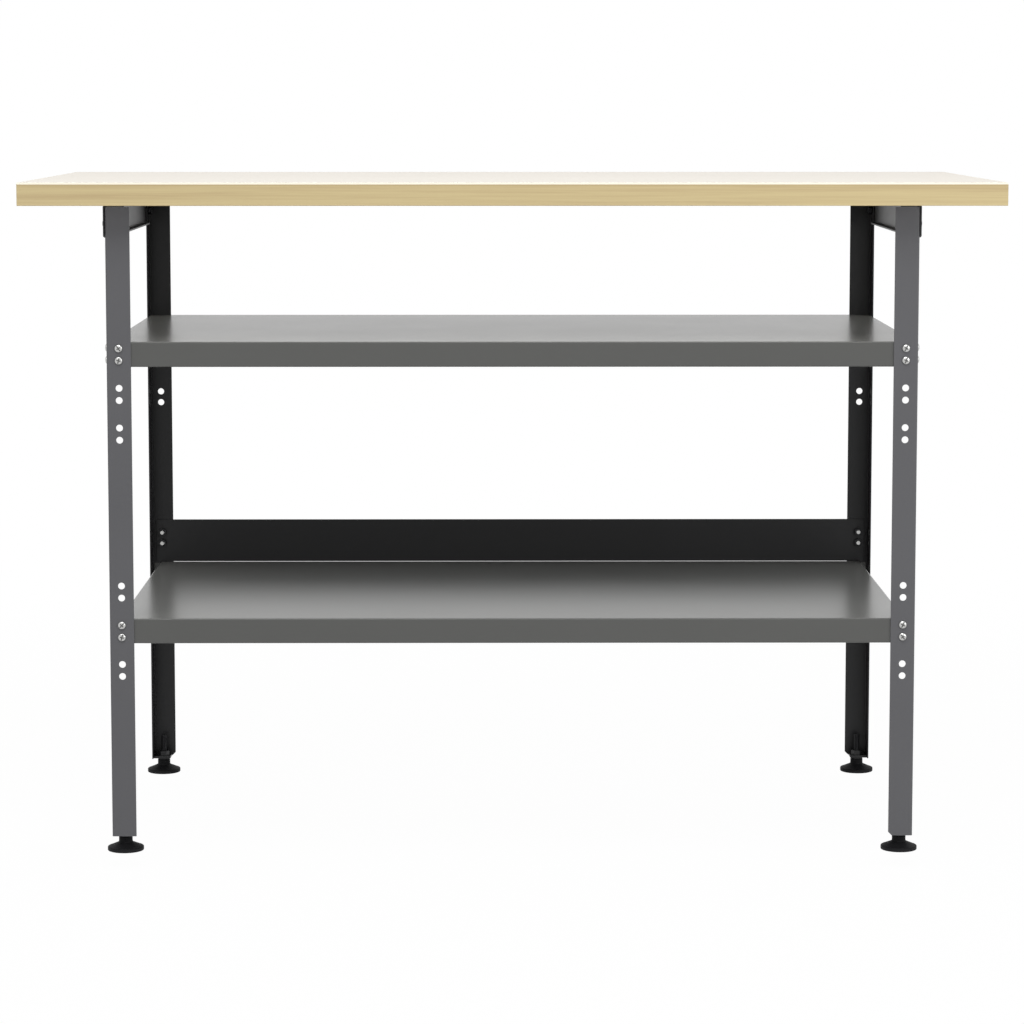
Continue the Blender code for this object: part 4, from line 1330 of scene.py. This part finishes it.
def build_camera(studio):
    """The camera at the photograph's place."""
    camera = bpy.data.cameras.new("camera")
    camera.lens = studio.lens
    camera.sensor_width = 36.0
    camera.shift_y = studio.shift
    obj = new_object("camera", camera)
    obj.location = studio.place
    obj.rotation_euler = (math.pi / 2 - studio.pitch, 0.0, -studio.yaw)
    bpy.context.scene.camera = obj


# Operators


UNDOABLE = {"REGISTER", "UNDO"}


class WORKBENCH_OT_worktop(bpy.types.Operator):
    """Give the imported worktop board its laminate"""

    bl_idname = "workbench.worktop"
    bl_label = "Dress Worktop"
    bl_options = UNDOABLE

    def execute(self, context):
        material = laminate_material(context.scene.workbench.finish)
        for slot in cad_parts["worktop_board"].material_slots:
            slot.material = material
        return {"FINISHED"}


class WORKBENCH_OT_edge_strips(bpy.types.Operator):
    """Build the wood-grain strips round the worktop"""

    bl_idname = "workbench.edge_strips"
    bl_label = "Build Edge Strips"
    bl_options = UNDOABLE

    def execute(self, context):
        build_edge_strips(context.scene.workbench)
        return {"FINISHED"}


class WORKBENCH_OT_legs(bpy.types.Operator):
    """Build the four punched legs"""

    bl_idname = "workbench.legs"
    bl_label = "Build Legs"
    bl_options = UNDOABLE

    def execute(self, context):
        build_legs(context.scene.workbench)
        return {"FINISHED"}


class WORKBENCH_OT_rails(bpy.types.Operator):
    """Build the two side rails"""

    bl_idname = "workbench.rails"
    bl_label = "Build Side Rails"
    bl_options = UNDOABLE

    def execute(self, context):
        build_rails(context.scene.workbench)
        return {"FINISHED"}


class WORKBENCH_OT_shelves(bpy.types.Operator):
    """Build the two shelves and the backstop"""

    bl_idname = "workbench.shelves"
    bl_label = "Build Shelves"
    bl_options = UNDOABLE

    def execute(self, context):
        settings = context.scene.workbench
        finish = settings.finish
        # The shelves' paint is a darker copy of the legs' grey paint: painted shade.
        paint = paint_material(
            "shelf_paint_finish", finish.shelf_paint, finish.shelf_roughness,
            finish.shelf_shine, 0.0, finish.painted_top_light,
        )
        build_shelf(settings, paint, "upper_shelf", UPPER_LOW, 0.0)
        build_shelf(settings, paint, "lower_shelf", LOWER_LOW, LOWER_SHELF_EAR)
        build_backstop(settings)
        return {"FINISHED"}


class WORKBENCH_OT_bolts(bpy.types.Operator):
    """Build every bolt and nut"""

    bl_idname = "workbench.bolts"
    bl_label = "Build Bolts"
    bl_options = UNDOABLE

    def execute(self, context):
        build_bolts(context.scene.workbench)
        return {"FINISHED"}


class WORKBENCH_OT_wood_screws(bpy.types.Operator):
    """Build the screws that hold the worktop on its rails"""

    bl_idname = "workbench.wood_screws"
    bl_label = "Build Wood Screws"
    bl_options = UNDOABLE

    def execute(self, context):
        build_wood_screws(context.scene.workbench)
        return {"FINISHED"}


class WORKBENCH_OT_feet(bpy.types.Operator):
    """Build the levelling pads and their studs"""

    bl_idname = "workbench.feet"
    bl_label = "Build Feet"
    bl_options = UNDOABLE

    def execute(self, context):
        build_pads(context.scene.workbench)
        build_studs(context.scene.workbench)
        return {"FINISHED"}


class WORKBENCH_OT_stage(bpy.types.Operator):
    """Set up the floor, the light and the camera"""

    bl_idname = "workbench.stage"
    bl_label = "Build Stage"
    bl_options = UNDOABLE

    def execute(self, context):
        studio = context.scene.workbench.studio
        build_world(studio)
        build_floor(studio)
        target = (0.0, 0.0, 0.45)
        add_lamp("key", studio.key, 3.2, 2.2, (-0.4, -2.6, 4.2), target)
        add_lamp("fill", studio.fill, 1.6, 1.4, (2.4, -2.2, 1.3), target)
        build_camera(studio)
        context.scene.view_settings.view_transform = "Standard"
        return {"FINISHED"}


class WORKBENCH_PT_looks(bpy.types.Panel):
    """The bench's pieces in the order in which they are built"""

    bl_idname = "WORKBENCH_PT_looks"
    bl_label = "Workbench"
    bl_space_type = "VIEW_3D"
    bl_region_type = "UI"
    bl_category = "Workbench"

    def draw(self, context):
        column = self.layout.column(align=True)
        for operator in OPERATORS:
            column.operator(operator.bl_idname)


OPERATORS = (
    WORKBENCH_OT_worktop, WORKBENCH_OT_edge_strips, WORKBENCH_OT_legs, WORKBENCH_OT_rails,
    WORKBENCH_OT_shelves, WORKBENCH_OT_bolts, WORKBENCH_OT_wood_screws, WORKBENCH_OT_feet,
    WORKBENCH_OT_stage,
)
CLASSES = (
    MetalSettings, FastenerSettings, FootSettings, FinishSettings, StudioSettings,
    WorkbenchSettings, *OPERATORS, WORKBENCH_PT_looks,
)


def register():
    """Make the classes and the settings known to Blender."""
    for item in CLASSES:
        bpy.utils.register_class(item)
    bpy.types.Scene.workbench = PointerProperty(type=WorkbenchSettings)


def unregister():
    """Take the settings and the classes away again."""
    del bpy.types.Scene.workbench
    for item in reversed(CLASSES):
        bpy.utils.unregister_class(item)


def main():
    """Build everything."""
    register()
    for operator in OPERATORS:
        group, name = operator.bl_idname.split(".")
        getattr(getattr(bpy.ops, group), name)()


if __name__ == "__main__":
    main()
